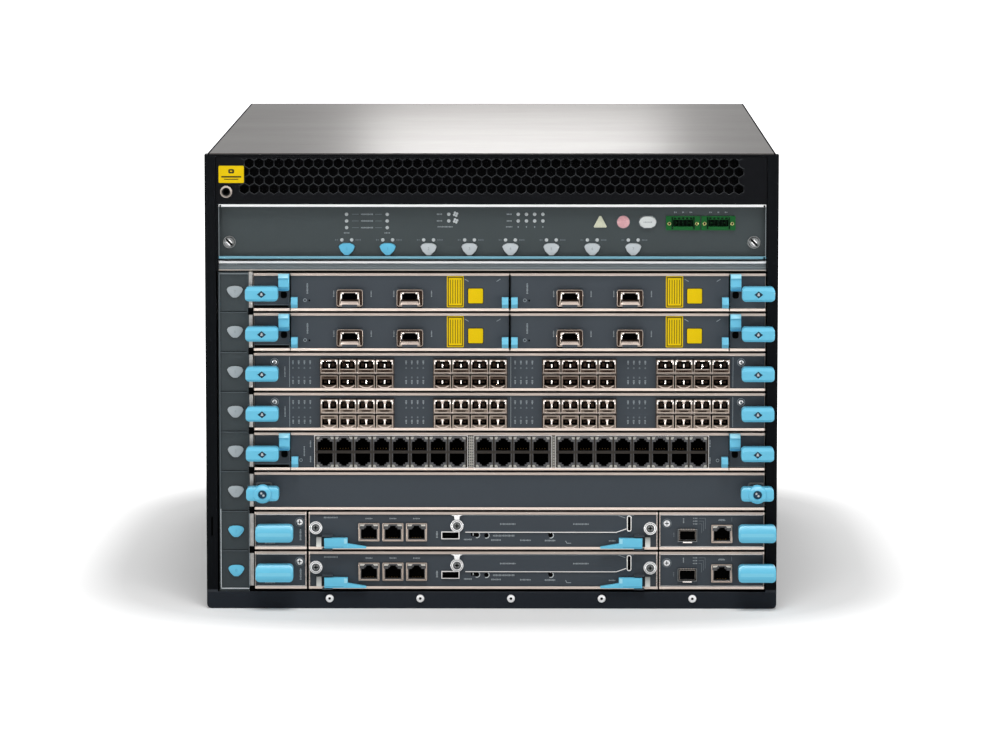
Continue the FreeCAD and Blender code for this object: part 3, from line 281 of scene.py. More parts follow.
@dataclass(frozen=True)
class Paint(Finish):
    """Powder paint with a fine pebbled skin and slight cloudiness."""

    colour: Colour
    roughness: float = 0.5
    skin: float = 0.02
    cloud: float = 0.08
    sheen: float = 0.4

    def draw(self, graph: Graph) -> None:
        """Colour clouds, fine specks and a pebbled relief."""
        cloud = graph.noise(60.0, 3.0)
        speck = graph.noise(0.9, 2.0)
        tone = cloud * 0.6 + speck * 0.4
        graph.surface(Base_Color=graph.vary(self.colour, tone, self.cloud * 2),
                      Roughness=self.roughness + (cloud - 0.5) * 0.15 + (speck - 0.5) * 0.1,
                      Specular_IOR_Level=self.sheen)
        graph.bump(speck, self.skin)


@dataclass(frozen=True)
class Metal(Finish):
    """Bare metal, brushed or plated, with faint smudges."""

    colour: Colour
    roughness: float = 0.35
    grain: Grain = Grain.NONE

    def draw(self, graph: Graph) -> None:
        """Brush lines, smudges and changing gloss."""
        lines = graph.noise(0.5, 3.0, self.grain.value)
        smudge = graph.noise(25.0, 4.0)
        tone = lines * 0.5 + smudge * 0.5
        graph.surface(Base_Color=graph.vary(self.colour, tone, 0.2), Metallic=1.0,
                      Roughness=self.roughness + (lines - 0.5) * 0.2 + (smudge - 0.5) * 0.2)
        graph.bump(lines, 0.01)


@dataclass(frozen=True)
class Moulding(Finish):
    """Moulded plastic with a satin skin and faint flow marks."""

    colour: Colour
    roughness: float = 0.38
    shade: float = 0.06
    coat: float = 0.0
    sheen: float = 0.35

    def draw(self, graph: Graph) -> None:
        """Flow marks, a spark-eroded skin and a thin gloss."""
        flow = graph.noise(14.0, 3.0, (3, 1, 1))
        skin = graph.noise(0.35, 2.0)
        graph.surface(Base_Color=graph.vary(self.colour, flow * 0.7 + skin * 0.3, self.shade * 2),
                      Roughness=self.roughness + (skin - 0.5) * 0.15 + (flow - 0.5) * 0.1)
        graph.surface(Coat_Weight=self.coat, Specular_IOR_Level=self.sheen)
        graph.bump(skin, 0.008)


@dataclass(frozen=True)
class Ink(Finish):
    """Screen printed ink, slightly uneven in its cover."""

    colour: Colour
    roughness: float = 0.55

    def draw(self, graph: Graph) -> None:
        """Uneven cover with a dry edge."""
        cover = graph.noise(0.7, 3.0)
        graph.surface(Base_Color=graph.vary(self.colour, cover, 0.12),
                      Roughness=self.roughness + (cover - 0.5) * 0.2)
        graph.surface(Specular_IOR_Level=0.15)
        graph.bump(cover, 0.004)


@dataclass(frozen=True)
class Lens(Finish):
    """Lens of a small unlit lamp."""

    colour: Colour

    def draw(self, graph: Graph) -> None:
        """A milky lens with a brighter heart."""
        heart = graph.noise(1.2, 1.0)
        graph.surface(Base_Color=graph.vary(self.colour, heart, 0.2), Roughness=0.2 + heart * 0.1, Coat_Weight=0.5)


@dataclass(frozen=True)
class CardSheet(Finish):
    """Faceplate, board and fittings of a card: the same in each slot, as the slots repeat."""

    web: Colour
    edge: Colour
    tabs: bool = False
    shells: bool = False

    def draw(self, graph: Graph) -> None:
        """Masks for the web, bare flanges, board, heat sink, connector, blue tabs and metal shells, with painted shade
        on the upper flange, in the mouths and on the lugs.
        """
        x, y, z = graph.place()
        rise = (z - PLATE_Z0) % SLOT_PITCH
        cloud = graph.noise(45.0, 3.0)
        speck = graph.noise(0.8, 2.0)
        brushed = graph.noise(0.5, 3.0, Grain.ALONG_X.value)
        flange = 1.0 - rise.inside(1.95, 27.35, 0.08)
        bare = (flange * y.inside(1.0, 14.6)).either(y.inside(4.4, 14.6, 0.4))
        # The upper flange takes the edge colour at 0.6: painted shade, as only the lower flange faces the light.
        top = rise.rise(20.0, 0.5)
        edge = graph.mix(top, graph.vary(self.edge, brushed, 0.2), graph.vary(scaled(self.edge, 0.6), brushed, 0.3))
        colour = graph.mix(bare, graph.vary(self.web, cloud * 0.5 + speck * 0.5, 0.16), edge)
        metal = bare
        behind = y.rise(14.9, 0.2)
        ends = x.inside(211.9, 212.6).either(x.inside(-184.8, -184.2)) * (1.0 - y.rise(3.5, 0.2))
        colour = graph.mix(ends, colour, scaled(self.edge, 0.55))
        track = graph.noise(3.0, 2.0, (6, 1, 1)).rise(0.56, 0.06)
        board = graph.mix(track, tint(22, 70, 42), tint(38, 98, 58))
        sink = behind * y.inside(329.5, 450.5) * x.inside(-90.5, 60.5) * rise.rise(5.6, 0.1)
        tail = y.rise(547.8, 0.2)
        colour = graph.mix(behind, colour, board)
        colour = graph.mix(sink, colour, graph.vary(tint(176, 180, 184), brushed, 0.2))
        colour = graph.mix(tail, colour, graph.vary(tint(38, 38, 42), speck, 0.2))
        metal = (metal * (1.0 - behind)).either(sink)
        if self.tabs:
            front = 1.0 - y.rise(1.6, 0.2)
            tabs = (1.0 - x.rise(-149.8, 0.1)).either(x.inside(7.4, 20.9)).either(x.rise(178.1, 0.1))
            blue = front * tabs
            colour = graph.mix(blue, colour, graph.vary(tint(112, 198, 228), cloud, 0.12))
            metal = metal * (1.0 - blue)
        if self.shells:
            shell = (1.0 - y.rise(1.75, 0.1)) * x.inside(-105.5, -23.0).either(x.inside(142.0, 190.5))
            # All faces deep in the sockets, 3.35 to 22.6 mm back, are painted near black as shade.
            mouth = y.inside(3.35, 22.6) * rise.inside(5.0, 21.5)
            for low in (-184.7, -145.3, -142.5, 128.3, 130.6, 211.6):
                rim = x.inside(low, low + 0.9) * (1.0 - y.rise(2.6, 0.2)) * speck.rise(0.4, 0.3)
                colour = graph.mix(rim, colour, graph.vary(self.edge, brushed, 0.2))
            lug = x.inside(-136.8, -132.3).either(x.inside(119.4, 123.9)) * rise.inside(2.1, 10.4)
            lug = lug * (1.0 - y.rise(2.7, 0.1))
            colour = graph.mix(shell, colour, graph.vary(tint(162, 154, 147), brushed, 0.2))
            # The lugs are painted bright below and darker above: painted shading.
            colour = graph.mix(lug, colour, graph.mix(rise.rise(6.5, 7.0), tint(196, 196, 192), tint(122, 124, 122)))
            face = None
            for middle, low in ((-95.6, 7.5), (-76.9, 7.5), (-58.5, 7.5), (179.4, 6.4)):
                one = x.inside(middle - 7.1, middle + 7.1, 0.2) * rise.inside(low, low + 12.2, 0.2)
                face = one if face is None else face.either(one)
            mouth_face = face * (1.0 - y.rise(4.0, 0.5))
            colour = graph.mix(mouth_face, colour, tint(16, 15, 14))
            colour = graph.mix(mouth, colour, tint(6, 6, 7))
            metal = metal.either(shell).either(lug) * (1.0 - mouth) * (1.0 - mouth_face)
        graph.surface(Base_Color=colour, Metallic=metal * 0.9,
                      Roughness=0.52 - metal * 0.18 + (speck - 0.5) * 0.15 + (cloud - 0.5) * 0.1)
        graph.surface(Specular_IOR_Level=0.3)
        graph.bump(speck + track * behind, 0.02)


@dataclass(frozen=True)
class FramePaint(Finish):
    """Black powder coat of the frame, painted paler on the sill as the light from above falls on it."""

    colour: Colour
    # Sill colour, paler from painted light.
    sill: Colour

    def draw(self, graph: Graph) -> None:
        """Fine orange peel, drifts of gloss, painted light on the sill and a painted highlight on its lit edge."""
        _, y, z = graph.place()
        speck = graph.noise(0.8, 2.0)
        drift = graph.noise(60.0, 3.0, (3, 1, 1))
        front = 1.0 - y.rise(2.2, 0.2)
        # Paler sill and its bright upper edge: painted light and painted highlight.
        sill = (1.0 - z.rise(14.6, 0.3)) * front
        edge = z.inside(12.9, 14.8, 0.3) * front
        base = graph.mix(sill * (0.6 + drift * 0.6), graph.vary(self.colour, speck, 0.3),
                         graph.vary(self.sill, speck, 0.15))
        graph.surface(Base_Color=graph.mix(edge * 0.8, base, tint(58, 61, 66)), Roughness=0.5 + (drift - 0.5) * 0.15)
        graph.surface(Specular_IOR_Level=0.05)
        graph.bump(speck, 0.02)


@dataclass(frozen=True)
class IntakePaint(Finish):
    """Black paint with a painted highlight along the lower edges of the cells."""

    margin: Colour
    # Colour of the painted highlight on the cell edges.
    edges: Colour

    def draw(self, graph: Graph) -> None:
        """Distance to the nearest cell, from the same rows and columns as the sheet, gives the painted highlight on the
        cell edges.
        """
        x, _, z = graph.place()
        speck = graph.noise(0.8, 2.0)
        highlight_patches = graph.noise(9.0, 3.0)
        lines = None
        for row in (0, 1):
            across = (x + (267.75 + 3.825 + 3.825 * row)) % 7.65 - 3.825
            up = (z - (327.83 - 6.625 * (3 - row))) % 13.25 - 6.625
            side = abs(across)
            reach = side.either(side * 0.5 + abs(up) * 0.866)
            line = reach.inside(3.3, 3.75, 0.08) * (1.0 - up.rise(-0.6, 1.6) * 0.8)
            lines = line if lines is None else lines.either(line)
        # The lines are a painted highlight, brightest on the lower edges, in patches.
        lines = lines * z.inside(323.6, 351.6, 0.3) * x.inside(-195.4, 195.4, 0.3) * (0.35 + highlight_patches * 0.9)
        graph.surface(Base_Color=graph.mix(lines, graph.vary(self.margin, speck, 0.25),
                                           graph.vary(self.edges, speck, 0.1)),
                      Roughness=0.5 + (speck - 0.5) * 0.15)
        graph.surface(Specular_IOR_Level=0.06)
        graph.bump(speck, 0.02)


@dataclass(frozen=True)
class CoverSheet(Finish):
    """Satin metallic sheet of the cover, with fine lines along its width."""

    colour: Colour

    def draw(self, graph: Graph) -> None:
        """Brush lines, faint clouds and changing gloss."""
        x, _, _ = graph.place()
        lines = graph.noise(0.9, 3.0, (30, 1, 1))
        cloud = graph.noise(120.0, 4.0, (3, 1, 1))
        fold = 1.0 - x.inside(-218.2, 218.2, 0.2)
        sheet = graph.vary(self.colour, lines * 0.4 + cloud * 0.6, 0.14)
        graph.surface(Base_Color=graph.mix(fold, sheet, tint(16, 17, 20)), Metallic=0.9 - fold * 0.9,
                      Roughness=0.33 + (lines - 0.5) * 0.1 + (cloud - 0.5) * 0.12)
        graph.surface(Specular_Tint=(0.62, 0.61, 0.6))
        graph.bump(lines, 0.006)
        dark = graph.node("ShaderNodeBsdfPrincipled", {}, {"Base Color": tint(10, 11, 13), "Roughness": 0.8,
                                                           "Specular IOR Level": 0.0})
        joined = graph.node("ShaderNodeMixShader", {}, {0: fold, 1: graph.shader.outputs[0], 2: dark.outputs[0]})
        graph.output(joined)


@dataclass(frozen=True)
class RailSheet(Finish):
    """Mottled upright rail and the painted header rail over the cards."""

    colour: Colour

    def draw(self, graph: Graph) -> None:
        """Masks for the header's white top, which is a painted highlight, its grey body, painted paler upwards as
        light, and its bare lower edge.
        """
        _, _, z = graph.place()
        mottle = graph.noise(2.2, 3.0)
        lines = graph.noise(0.6, 3.0, (30, 1, 1))
        header = z.rise(263.0, 0.3)
        # The header's body is painted darker below and paler above, and its top white: painted light and painted
        # highlight.
        painted_light_rise = z.rise(268.0, 5.0)
        body = graph.mix(painted_light_rise, tint(80, 88, 93), tint(122, 130, 134))
        body = graph.mix(z.rise(270.4, 0.25), body, tint(232, 236, 238))
        body = graph.mix(1.0 - z.rise(265.3, 0.2), body, tint(182, 172, 162))
        graph.surface(Base_Color=graph.mix(header, graph.vary(self.colour, mottle, 0.45), body),
                      Metallic=0.85 - header * 0.75, Roughness=0.36 + (mottle - 0.5) * 0.2 + (lines - 0.5) * 0.1)
        graph.bump(mottle * 0.5 + lines * 0.5, 0.02)


@dataclass(frozen=True)
class Perforated(Finish):
    """Bright sheet with small dark holes."""

    colour: Colour

    def draw(self, graph: Graph) -> None:
        """A grid of round holes."""
        x, _, z = graph.place()
        across, up = abs(x % 1.7 - 0.85), abs(z % 2.1 - 1.05)
        hole = 1.0 - (across * across + up * up).rise(0.26, 0.12)
        speck = graph.noise(0.8, 2.0)
        graph.surface(Base_Color=graph.mix(hole, graph.vary(self.colour, speck, 0.25), tint(26, 26, 26)),
                      Metallic=0.9 - hole * 0.8, Roughness=0.36 + (speck - 0.5) * 0.2)
        graph.bump(1.0 - hole, 0.1)


@dataclass(frozen=True)
class Collar(Finish):
    """Plated collar around a bore painted black as shade."""

    colour: Colour
    middle: tuple[float, float]
    bore: float

    def draw(self, graph: Graph) -> None:
        """Distance from the middle parts the bore, painted black as shade, from the collar, whose upper and outer part
        is a painted highlight and whose lower part is painted shade.
        """
        x, _, z = graph.place()
        across, up = x - self.middle[0], z - self.middle[1]
        reach = across * across + up * up
        rim = reach.rise(self.bore ** 2, 1.6)
        # Painted highlight on the upper and outer collar, painted shade below.
        lit = (up + across * 0.4).rise(1.2, 2.4).either(reach.rise(16.5, 2.0) * 0.6)
        speck = graph.noise(0.8, 2.0)
        plated = graph.mix(lit, graph.vary(scaled(self.colour, 0.35), speck, 0.2), graph.vary(self.colour, speck, 0.1))
        graph.surface(Base_Color=graph.mix(rim, tint(5, 5, 6), plated), Metallic=rim * 0.9,
                      Roughness=0.7 - rim * 0.35 + (speck - 0.5) * 0.1)
        graph.surface(Specular_IOR_Level=0.05)
        graph.bump(speck, 0.01)


@dataclass(frozen=True)
class TwoTone(Finish):
    """Moulded parts that are one colour left of an edge and another right of it."""

    left: Colour
    right: Colour
    edge: float

    def draw(self, graph: Graph) -> None:
        """A clean change of colour along x, with a satin skin."""
        x, _, _ = graph.place()
        flow = graph.noise(9.0, 3.0)
        skin = graph.noise(0.4, 2.0)
        side = x.rise(self.edge, 0.5)
        graph.surface(Base_Color=graph.mix(side, graph.vary(self.left, flow, 0.1), graph.vary(self.right, flow, 0.1)),
                      Roughness=0.35 + (skin - 0.5) * 0.15)
        graph.bump(skin, 0.01)


@dataclass(frozen=True)
class Galvanised(Finish):
    """Zinc coated sheet with its spangle."""

    colour: Colour
    roughness: float = 0.42

    def draw(self, graph: Graph) -> None:
        """Crystal flakes of slightly different tone and gloss."""
        flakes = graph.node("ShaderNodeTexVoronoi", {"feature": "F1"}, {"Vector": graph.spot(), "Scale": 160.0})
        tone = Value(graph, graph.node("ShaderNodeSeparateColor", {}, {0: flakes.outputs["Color"]}).outputs[0])
        smudge = graph.noise(40.0, 4.0)
        graph.surface(Base_Color=graph.vary(self.colour, tone * 0.6 + smudge * 0.4, 0.18), Metallic=0.9,
                      Roughness=self.roughness + (tone - 0.5) * 0.14 + (smudge - 0.5) * 0.16)
        graph.bump(tone, 0.01)


@dataclass(frozen=True)
class Circuit(Finish):
    """Green solder mask over copper tracks."""

    colour: Colour

    def draw(self, graph: Graph) -> None:
        """Tracks as long thin noise, and vias as small dots."""
        track = graph.noise(3.0, 2.0, (1, 1, 8)).rise(0.55, 0.05)
        dots = graph.node("ShaderNodeTexVoronoi", {"feature": "F1"}, {"Vector": graph.spot(), "Scale": 220.0})
        via = 1.0 - Value(graph, dots.outputs["Distance"]).rise(0.16, 0.05)
        colour = graph.mix(track, self.colour, scaled(self.colour, 1.6))
        graph.surface(Base_Color=graph.mix(via, colour, tint(180, 160, 90)), Roughness=0.35 + track * 0.1)
        graph.bump(track + via, 0.03)


@dataclass(frozen=True)
class Foam(Finish):
    """Open cell foam of an air filter."""

    colour: Colour

    def draw(self, graph: Graph) -> None:
        """Small pores in relief."""
        pores = graph.node("ShaderNodeTexVoronoi", {"feature": "F1"}, {"Vector": graph.spot(), "Scale": 700.0})
        depth = Value(graph, pores.outputs["Distance"])
        graph.surface(Base_Color=graph.vary(self.colour, depth, 0.5), Roughness=0.85 + depth * 0.1)
        graph.surface(Specular_IOR_Level=0.05)
        graph.bump(depth, 0.6)


EDGE = tint(206, 192, 182)
WEB_SLATE = tint(53, 60, 67)
FRAME_BLACK = FramePaint("frame_black_paint", "frame_black", tint(6, 8, 11), tint(37, 41, 47))
INTAKE_BLACK = IntakePaint("intake_black_paint", "frame_black", tint(6, 7, 10), tint(62, 64, 66))
SCREEN_BLACK = Paint("screen_black_paint", "frame_black", tint(30, 31, 33), 0.5, 0.02, 0.1, 0.2)
COVER_PAINT = CoverSheet("cover_satin_sheet", "cover_grey", tint(76, 73, 72))
STRIP_PAINT = Paint("strip_grey_paint", "strip_grey", tint(46, 54, 57), 0.5, 0.02, 0.08, 0.3)
CRAFT = Paint("craft_panel_paint", "panel_grey", tint(49, 57, 59), 0.5, 0.02, 0.07, 0.3)
# White of the craft panel's upper lip and of the header rail's top line: painted highlight.
LIP_HIGHLIGHT = Paint("lip_painted_highlight", "panel_grey", tint(252, 253, 254), 0.4, 0.01, 0.02)
LIP_LINE = Paint("lip_line_paint", "panel_grey", tint(116, 126, 128), 0.4, 0.01, 0.05)
LIP_BLUE = Paint("lip_blue_paint", "panel_grey", tint(112, 166, 184), 0.4, 0.01, 0.05)
SLATE = CardSheet("card_sheet", "plate_slate", WEB_SLATE, EDGE)
SLATE_TABS = CardSheet("card_sheet_tabs", "plate_slate", WEB_SLATE, EDGE, tabs=True)
SLATE_SHELLS = CardSheet("card_sheet_shells", "plate_slate", WEB_SLATE, EDGE, shells=True)
ZINC = Galvanised("galvanised_sheet", "sheet_steel", tint(136, 136, 133))
RAIL = RailSheet("rail_silver", "rail_bright", tint(150, 148, 145))
GREEN_BOARD = Circuit("midplane_board", "board_green", tint(24, 74, 46))
GUIDE = Moulding("guide_moulding", "guide_plastic", tint(44, 45, 48), 0.5)
BLUE = Moulding("blue_moulding", "blue_plastic", tint(104, 198, 230), 0.34, 0.04, 0.1)
# Lighter blue on the tab tops and the levers' end facets: painted highlight.
BLUE_HIGHLIGHT = Moulding("blue_moulding_painted_highlight", "blue_plastic", tint(158, 224, 244), 0.34, 0.04, 0.1)
# Lighter blue band along the crest of the barrel handles: painted highlight.
BLUE_CREST_HIGHLIGHT = Moulding("blue_moulding_crest_highlight", "blue_plastic", tint(124, 209, 236), 0.34, 0.04, 0.1)
BLUE_MID = Moulding("blue_moulding_mid", "blue_plastic", tint(78, 168, 204), 0.4, 0.05)
# Dark blue in the knobs' recesses and on the necks behind the handles: painted shade.
BLUE_SHADE = Moulding("blue_moulding_painted_shade", "blue_plastic", tint(24, 62, 84), 0.5, 0.06)
SHIELDS = TwoTone("shield_moulding", "button_grey", tint(96, 192, 228), tint(196, 203, 207), -64.5)
STRIP_SHIELD = Moulding("strip_shield", "button_grey", tint(172, 180, 184), 0.4)
CAP = Moulding("button_cap", "cap_grey", tint(212, 217, 216), 0.35, 0.05)
GREEN_SOCKET = Moulding("relay_socket_green", "socket_green", tint(12, 88, 36), 0.4, 0.1, sheen=0.15)
# Dark green on the relay sockets' ribs, edges and interior: painted shade.
GREEN_SHADE = Moulding("relay_socket_painted_shade", "socket_green", tint(3, 26, 12), 0.5, 0.1, sheen=0.05)
STEEL = Metal("screw_steel", "socket_metal", tint(204, 205, 206), 0.3)
DARK_STEEL = Metal("captive_screw", "socket_metal", tint(112, 114, 114), 0.4)
CHROME = Metal("thumb_screw_bright", "socket_metal", tint(214, 214, 214), 0.26)
SILL_BRIGHT = Metal("sill_screw_bright", "socket_metal", tint(246, 246, 246), 0.3)
SOCKET_COLLAR = Collar("wrist_socket_collar", "socket_metal", tint(170, 160, 152), (-205.3, 325.8), 3.2)
# Dark metal in the grooves and recess floors of the thumb screws: painted shade.
METAL_SHADE = Metal("screw_recess_painted_shade", "socket_metal", tint(58, 59, 60), 0.45)
BRASS = Metal("brass", "cage_metal", tint(150, 144, 96), 0.3)
GOLD = Metal("contact_gold", "cage_metal", tint(120, 92, 48), 0.35)
# Metal of the shells, and also the thin bright rims of the ports and transceivers, which are painted highlights.
SHELL_AND_HIGHLIGHT = Metal("port_shell_and_painted_highlight", "cage_metal", tint(158, 145, 135), 0.3)
# Dark bronze of the transceiver bodies, darkened as the dark reflection of their metal: painted shade.
SHELL_DARK = Metal("port_shell_dark", "cage_metal", tint(66, 55, 48), 0.45)
SHELL_LIP = Metal("port_lip", "cage_metal", tint(178, 164, 155), 0.3)
SHELL_MID = Metal("port_shell_mid", "cage_metal", tint(104, 93, 84), 0.38)
# Darkest bronze of the port shells and of the transceivers' inner blocks and latch recesses: painted shade and dark
# reflection.
SHELL_SHADE = Metal("port_shell_painted_shade", "cage_metal", tint(40, 31, 26), 0.5)
# Bright metal of the latches, and the bright spots on the transceivers, which are painted highlights.
LATCH_AND_HIGHLIGHT = Metal("latch_and_painted_highlight", "cage_metal", tint(240, 230, 224), 0.28)
JACK = Moulding("jack_black", "jack_black", tint(13, 12, 11), 0.5, 0.1, sheen=0.03)
JACK_GREY = Moulding("jack_divider", "jack_black", tint(50, 46, 42), 0.45, 0.12, sheen=0.1)
JACK_LAMP = Lens("jack_lamp", "jack_black", tint(204, 200, 190))
JACK_WINDOW = Lens("jack_window", "jack_black", tint(158, 156, 148))
# Black of black parts, and black put in mouths, holes, gaps, notches, recesses and under lips as painted shade.
BLACK_AND_SHADE = Moulding("black_and_painted_shade", "jack_black", tint(4, 4, 4), 0.8, 0.1, sheen=0.02)
SILVER = Metal("silver_edge", "socket_metal", tint(214, 212, 210), 0.32, Grain.ALONG_X)
DIVIDER = Perforated("divider_sheet", "socket_metal", tint(136, 134, 128))
WHITE_INK = Ink("white_ink", "button_grey", tint(206, 212, 214))
GREY_INK = Ink("grey_ink", "strip_grey", tint(150, 158, 162))
DIM_INK = Ink("dim_ink", "strip_grey", tint(108, 116, 121))
DARK_INK = Ink("dark_ink", "frame_black", tint(38, 34, 14))
YELLOW_INK = Ink("yellow_field", "button_grey", tint(240, 204, 0))
PINK_LENS = Lens("lamp_pink", "button_grey", tint(216, 158, 164))
LIME_LENS = Lens("lamp_lime", "button_grey", tint(208, 210, 184))
PALE_LENS = Lens("lamp_pale", "button_grey", tint(182, 188, 190))
FILTER = Foam("air_filter_foam", "frame_black", tint(8, 8, 9))
CHIP = Moulding("chip_black", "jack_black", tint(36, 36, 38), 0.45, sheen=0.2)


# Outlines and meshes


def circle(radius: float, sides: int = 20) -> Outline:
    """Round outline around the origin."""
    step = 2 * math.pi / sides
    return [(radius * math.cos(k * step), radius * math.sin(k * step)) for k in range(sides)]


def oblong(width: float, height: float, radius: float, steps: int = 3, x: float = 0.0, z: float = 0.0) -> Outline:
    """Rounded rectangle around a centre."""
    a, b = width / 2 - radius, height / 2 - radius
    points = []
    for turn, (cx, cz) in enumerate(((a, b), (-a, b), (-a, -b), (a, -b))):
        for k in range(steps + 1):
            angle = math.pi / 2 * (turn + k / steps)
            points.append((x + cx + radius * math.cos(angle), z + cz + radius * math.sin(angle)))
    return points


def rect(x0: float, x1: float, z0: float, z1: float) -> Outline:
    """Plain rectangle."""
    return [(x0, z0), (x1, z0), (x1, z1), (x0, z1)]


def taper(half: float, low: float, half_above: float, high: float) -> Outline:
    """Symmetric trapezium between two heights."""
    return [(-half, low), (half, low), (half_above, high), (-half_above, high)]


def cross(reach: float, thick: float) -> Outline:
    """Outline of a cross slot."""
    a, b = reach, thick / 2
    return [(a, -b), (a, b), (b, b), (b, a), (-b, a), (-b, b), (-a, b), (-a, -b), (-b, -b), (-b, -a), (b, -a), (b, -b)]


def notched(low: float, width: float, height: float, up: bool) -> Outline:
    """Mouth of a copper socket with the keyway for the plug's latch."""
    a = width / 2
    half = [(a, 0.0), (a, height * 0.72), (a * 0.62, height * 0.72), (a * 0.62, height * 0.86),
            (a * 0.36, height * 0.86), (a * 0.36, height)]
    steps = half + [(-u, v) for u, v in reversed(half)]
    return [(u, low + (v if up else height - v)) for u, v in steps[-1:] + steps[:-1]]


def shield(width: float, height: float, x: float, z: float) -> Outline:
    """Shield outline, flat above and pointed below."""
    a, b = width / 2, height / 2
    right = [(0.0, 1.0), (0.45, 0.95), (0.82, 0.78), (1.0, 0.42), (0.92, 0.05), (0.74, -0.34), (0.48, -0.74),
             (0.24, -0.96)]
    left = [(-u, v) for u, v in reversed(right[1:])]
    return [(x + u * a, z + v * b) for u, v in right + left]


def span(limits: Span) -> Sequence[float]:
    """Limits as a pair; a single number reaches that far to both sides of the origin."""
    return (-limits, limits) if isinstance(limits, float) else limits


class Shape:
    def __init__(self, origin: list[float]) -> None:
        """Starts an empty mesh."""
        self.mesh = bmesh.new()
        self.origin = origin

    def _soften(self, edges: Iterable[bmesh.types.BMEdge], by: float, steps: int) -> None:
        """Bevels edges by a few tenths of a millimetre or more."""
        bmesh.ops.bevel(self.mesh, geom=list(edges), offset=by, offset_type="OFFSET", segments=steps,
                        profile=0.5, affect="EDGES", clamp_overlap=True, material=-1)

    def box(self, x: Span, y: Sequence[float], z: Span, soft: float = 0.0) -> None:
        """Box between limits, with softened edges."""
        x, z = span(x), span(z)
        middle = ((x[0] + x[1]) / 2 + self.origin[0], (y[0] + y[1]) / 2, (z[0] + z[1]) / 2 + self.origin[1])
        size = (abs(x[1] - x[0]), abs(y[1] - y[0]), abs(z[1] - z[0]), 1.0)
        made = bmesh.ops.create_cube(self.mesh, size=1.0, matrix=Matrix.Translation(middle) @ Matrix.Diagonal(size))
        if soft:
            self._soften({e for v in made["verts"] for e in v.link_edges}, soft, 1)

    def rod(self, radius: float, y: Sequence[float], soft: float = 0.0, sides: int = 20, x: float = 0.0,
            z: float = 0.0) -> None:
        """Round bar along the depth, from its front to its back.

        Args:
            radius: its radius.
            y: front and back.
            soft: rounding of the front rim.
            sides: number of sides.
            x: centre.
            z: centre.
        """
        place = Matrix.Translation((x + self.origin[0], (y[0] + y[1]) / 2, z + self.origin[1]))
        made = bmesh.ops.create_cone(self.mesh, cap_ends=True, segments=sides, radius1=radius, radius2=radius,
                                     depth=y[1] - y[0], matrix=place @ Matrix.Rotation(math.pi / 2, 4, "X"))
        if soft:
            front = {e for v in made["verts"] for e in v.link_edges
                     if all(abs(w.co.y - y[0]) < 1e-4 for w in e.verts)}
            self._soften(front, soft, 2)

    def plate(self, outline: Outline, holes: Sequence[Outline], y: Sequence[float], rim: float = 0.0,
              steps: int = 2) -> None:
        """Sheet in the front plane with openings.

        Args:
            outline: its outer edge.
            holes: its openings.
            y: front and back.
            rim: rounding of the front outer edge.
            steps: number of steps of that rounding.
        """
        edges, outer = [], []
        for loop in (outline, *holes):
            verts = [self.mesh.verts.new((px + self.origin[0], y[0], pz + self.origin[1])) for px, pz in loop]
            ring = [self.mesh.edges.new(pair) for pair in zip(verts, verts[1:] + verts[:1])]
            outer = outer or ring
            edges += ring
        filled = bmesh.ops.triangle_fill(self.mesh, use_beauty=True, edges=edges)["geom"]
        faces = [g for g in filled if isinstance(g, bmesh.types.BMFace)]
        grown = bmesh.ops.extrude_face_region(self.mesh, geom=faces)["geom"]
        back = [g for g in grown if isinstance(g, bmesh.types.BMVert)]
        bmesh.ops.translate(self.mesh, vec=(0, y[1] - y[0], 0), verts=back)
        whole = {g for g in (*faces, *grown) if isinstance(g, bmesh.types.BMFace) and g.is_valid}
        whole |= {f for v in back for f in v.link_faces}
        bmesh.ops.recalc_face_normals(self.mesh, faces=list(whole))
        if rim:
            self._soften([e for e in outer if e.is_valid], rim, steps)

    def ring(self, outer: float, inner: float, y: Sequence[float], rim: float = 0.0, sides: int = 32) -> None:
        """Flat ring between two radii."""
        self.plate(circle(outer, sides), [circle(inner, sides)], y, rim)

    def bar(self, section: Outline, x: Span, soft: float) -> None:
        """Straight bar along x, from its section as (y, z) pairs, with softened edges."""
        x0, x1 = span(x)
        corners = [(x0 + self.origin[0], y, z + self.origin[1]) for y, z in section]
        face = self.mesh.faces.new([self.mesh.verts.new(c) for c in corners])
        grown = bmesh.ops.extrude_face_region(self.mesh, geom=[face])["geom"]
        far = [g for g in grown if isinstance(g, bmesh.types.BMVert)]
        bmesh.ops.translate(self.mesh, vec=(x1 - x0, 0, 0), verts=far)
        whole = {f for v in far for f in v.link_faces} | {face}
        bmesh.ops.recalc_face_normals(self.mesh, faces=list(whole))
        self._soften({e for f in whole for e in f.edges}, soft, 1)

    def word(self, x: float, z: float, width: float, y: float, height: float, upright: bool = False) -> None:
        """A row of tiny printed blocks that stands for a word.

        Args:
            x: its middle.
            z: its middle.
            width: its length.
            y: face that it is printed on.
            height: size of a block across the row.
            upright: whether the row climbs.
        """
        count = max(2, round(width / 1.1))
        for k in range(count):
            along = (k + 0.5) / count * width - width / 2
            across = height * (0.5 if (k * 7 + count) % 3 else 0.36)
            a, b = (across, 0.36) if upright else (0.36, across)
            px, pz = (x, z + along) if upright else (x + along, z)
            self.box((px - a, px + a), (y - 0.04, y), (pz - b, pz + b))

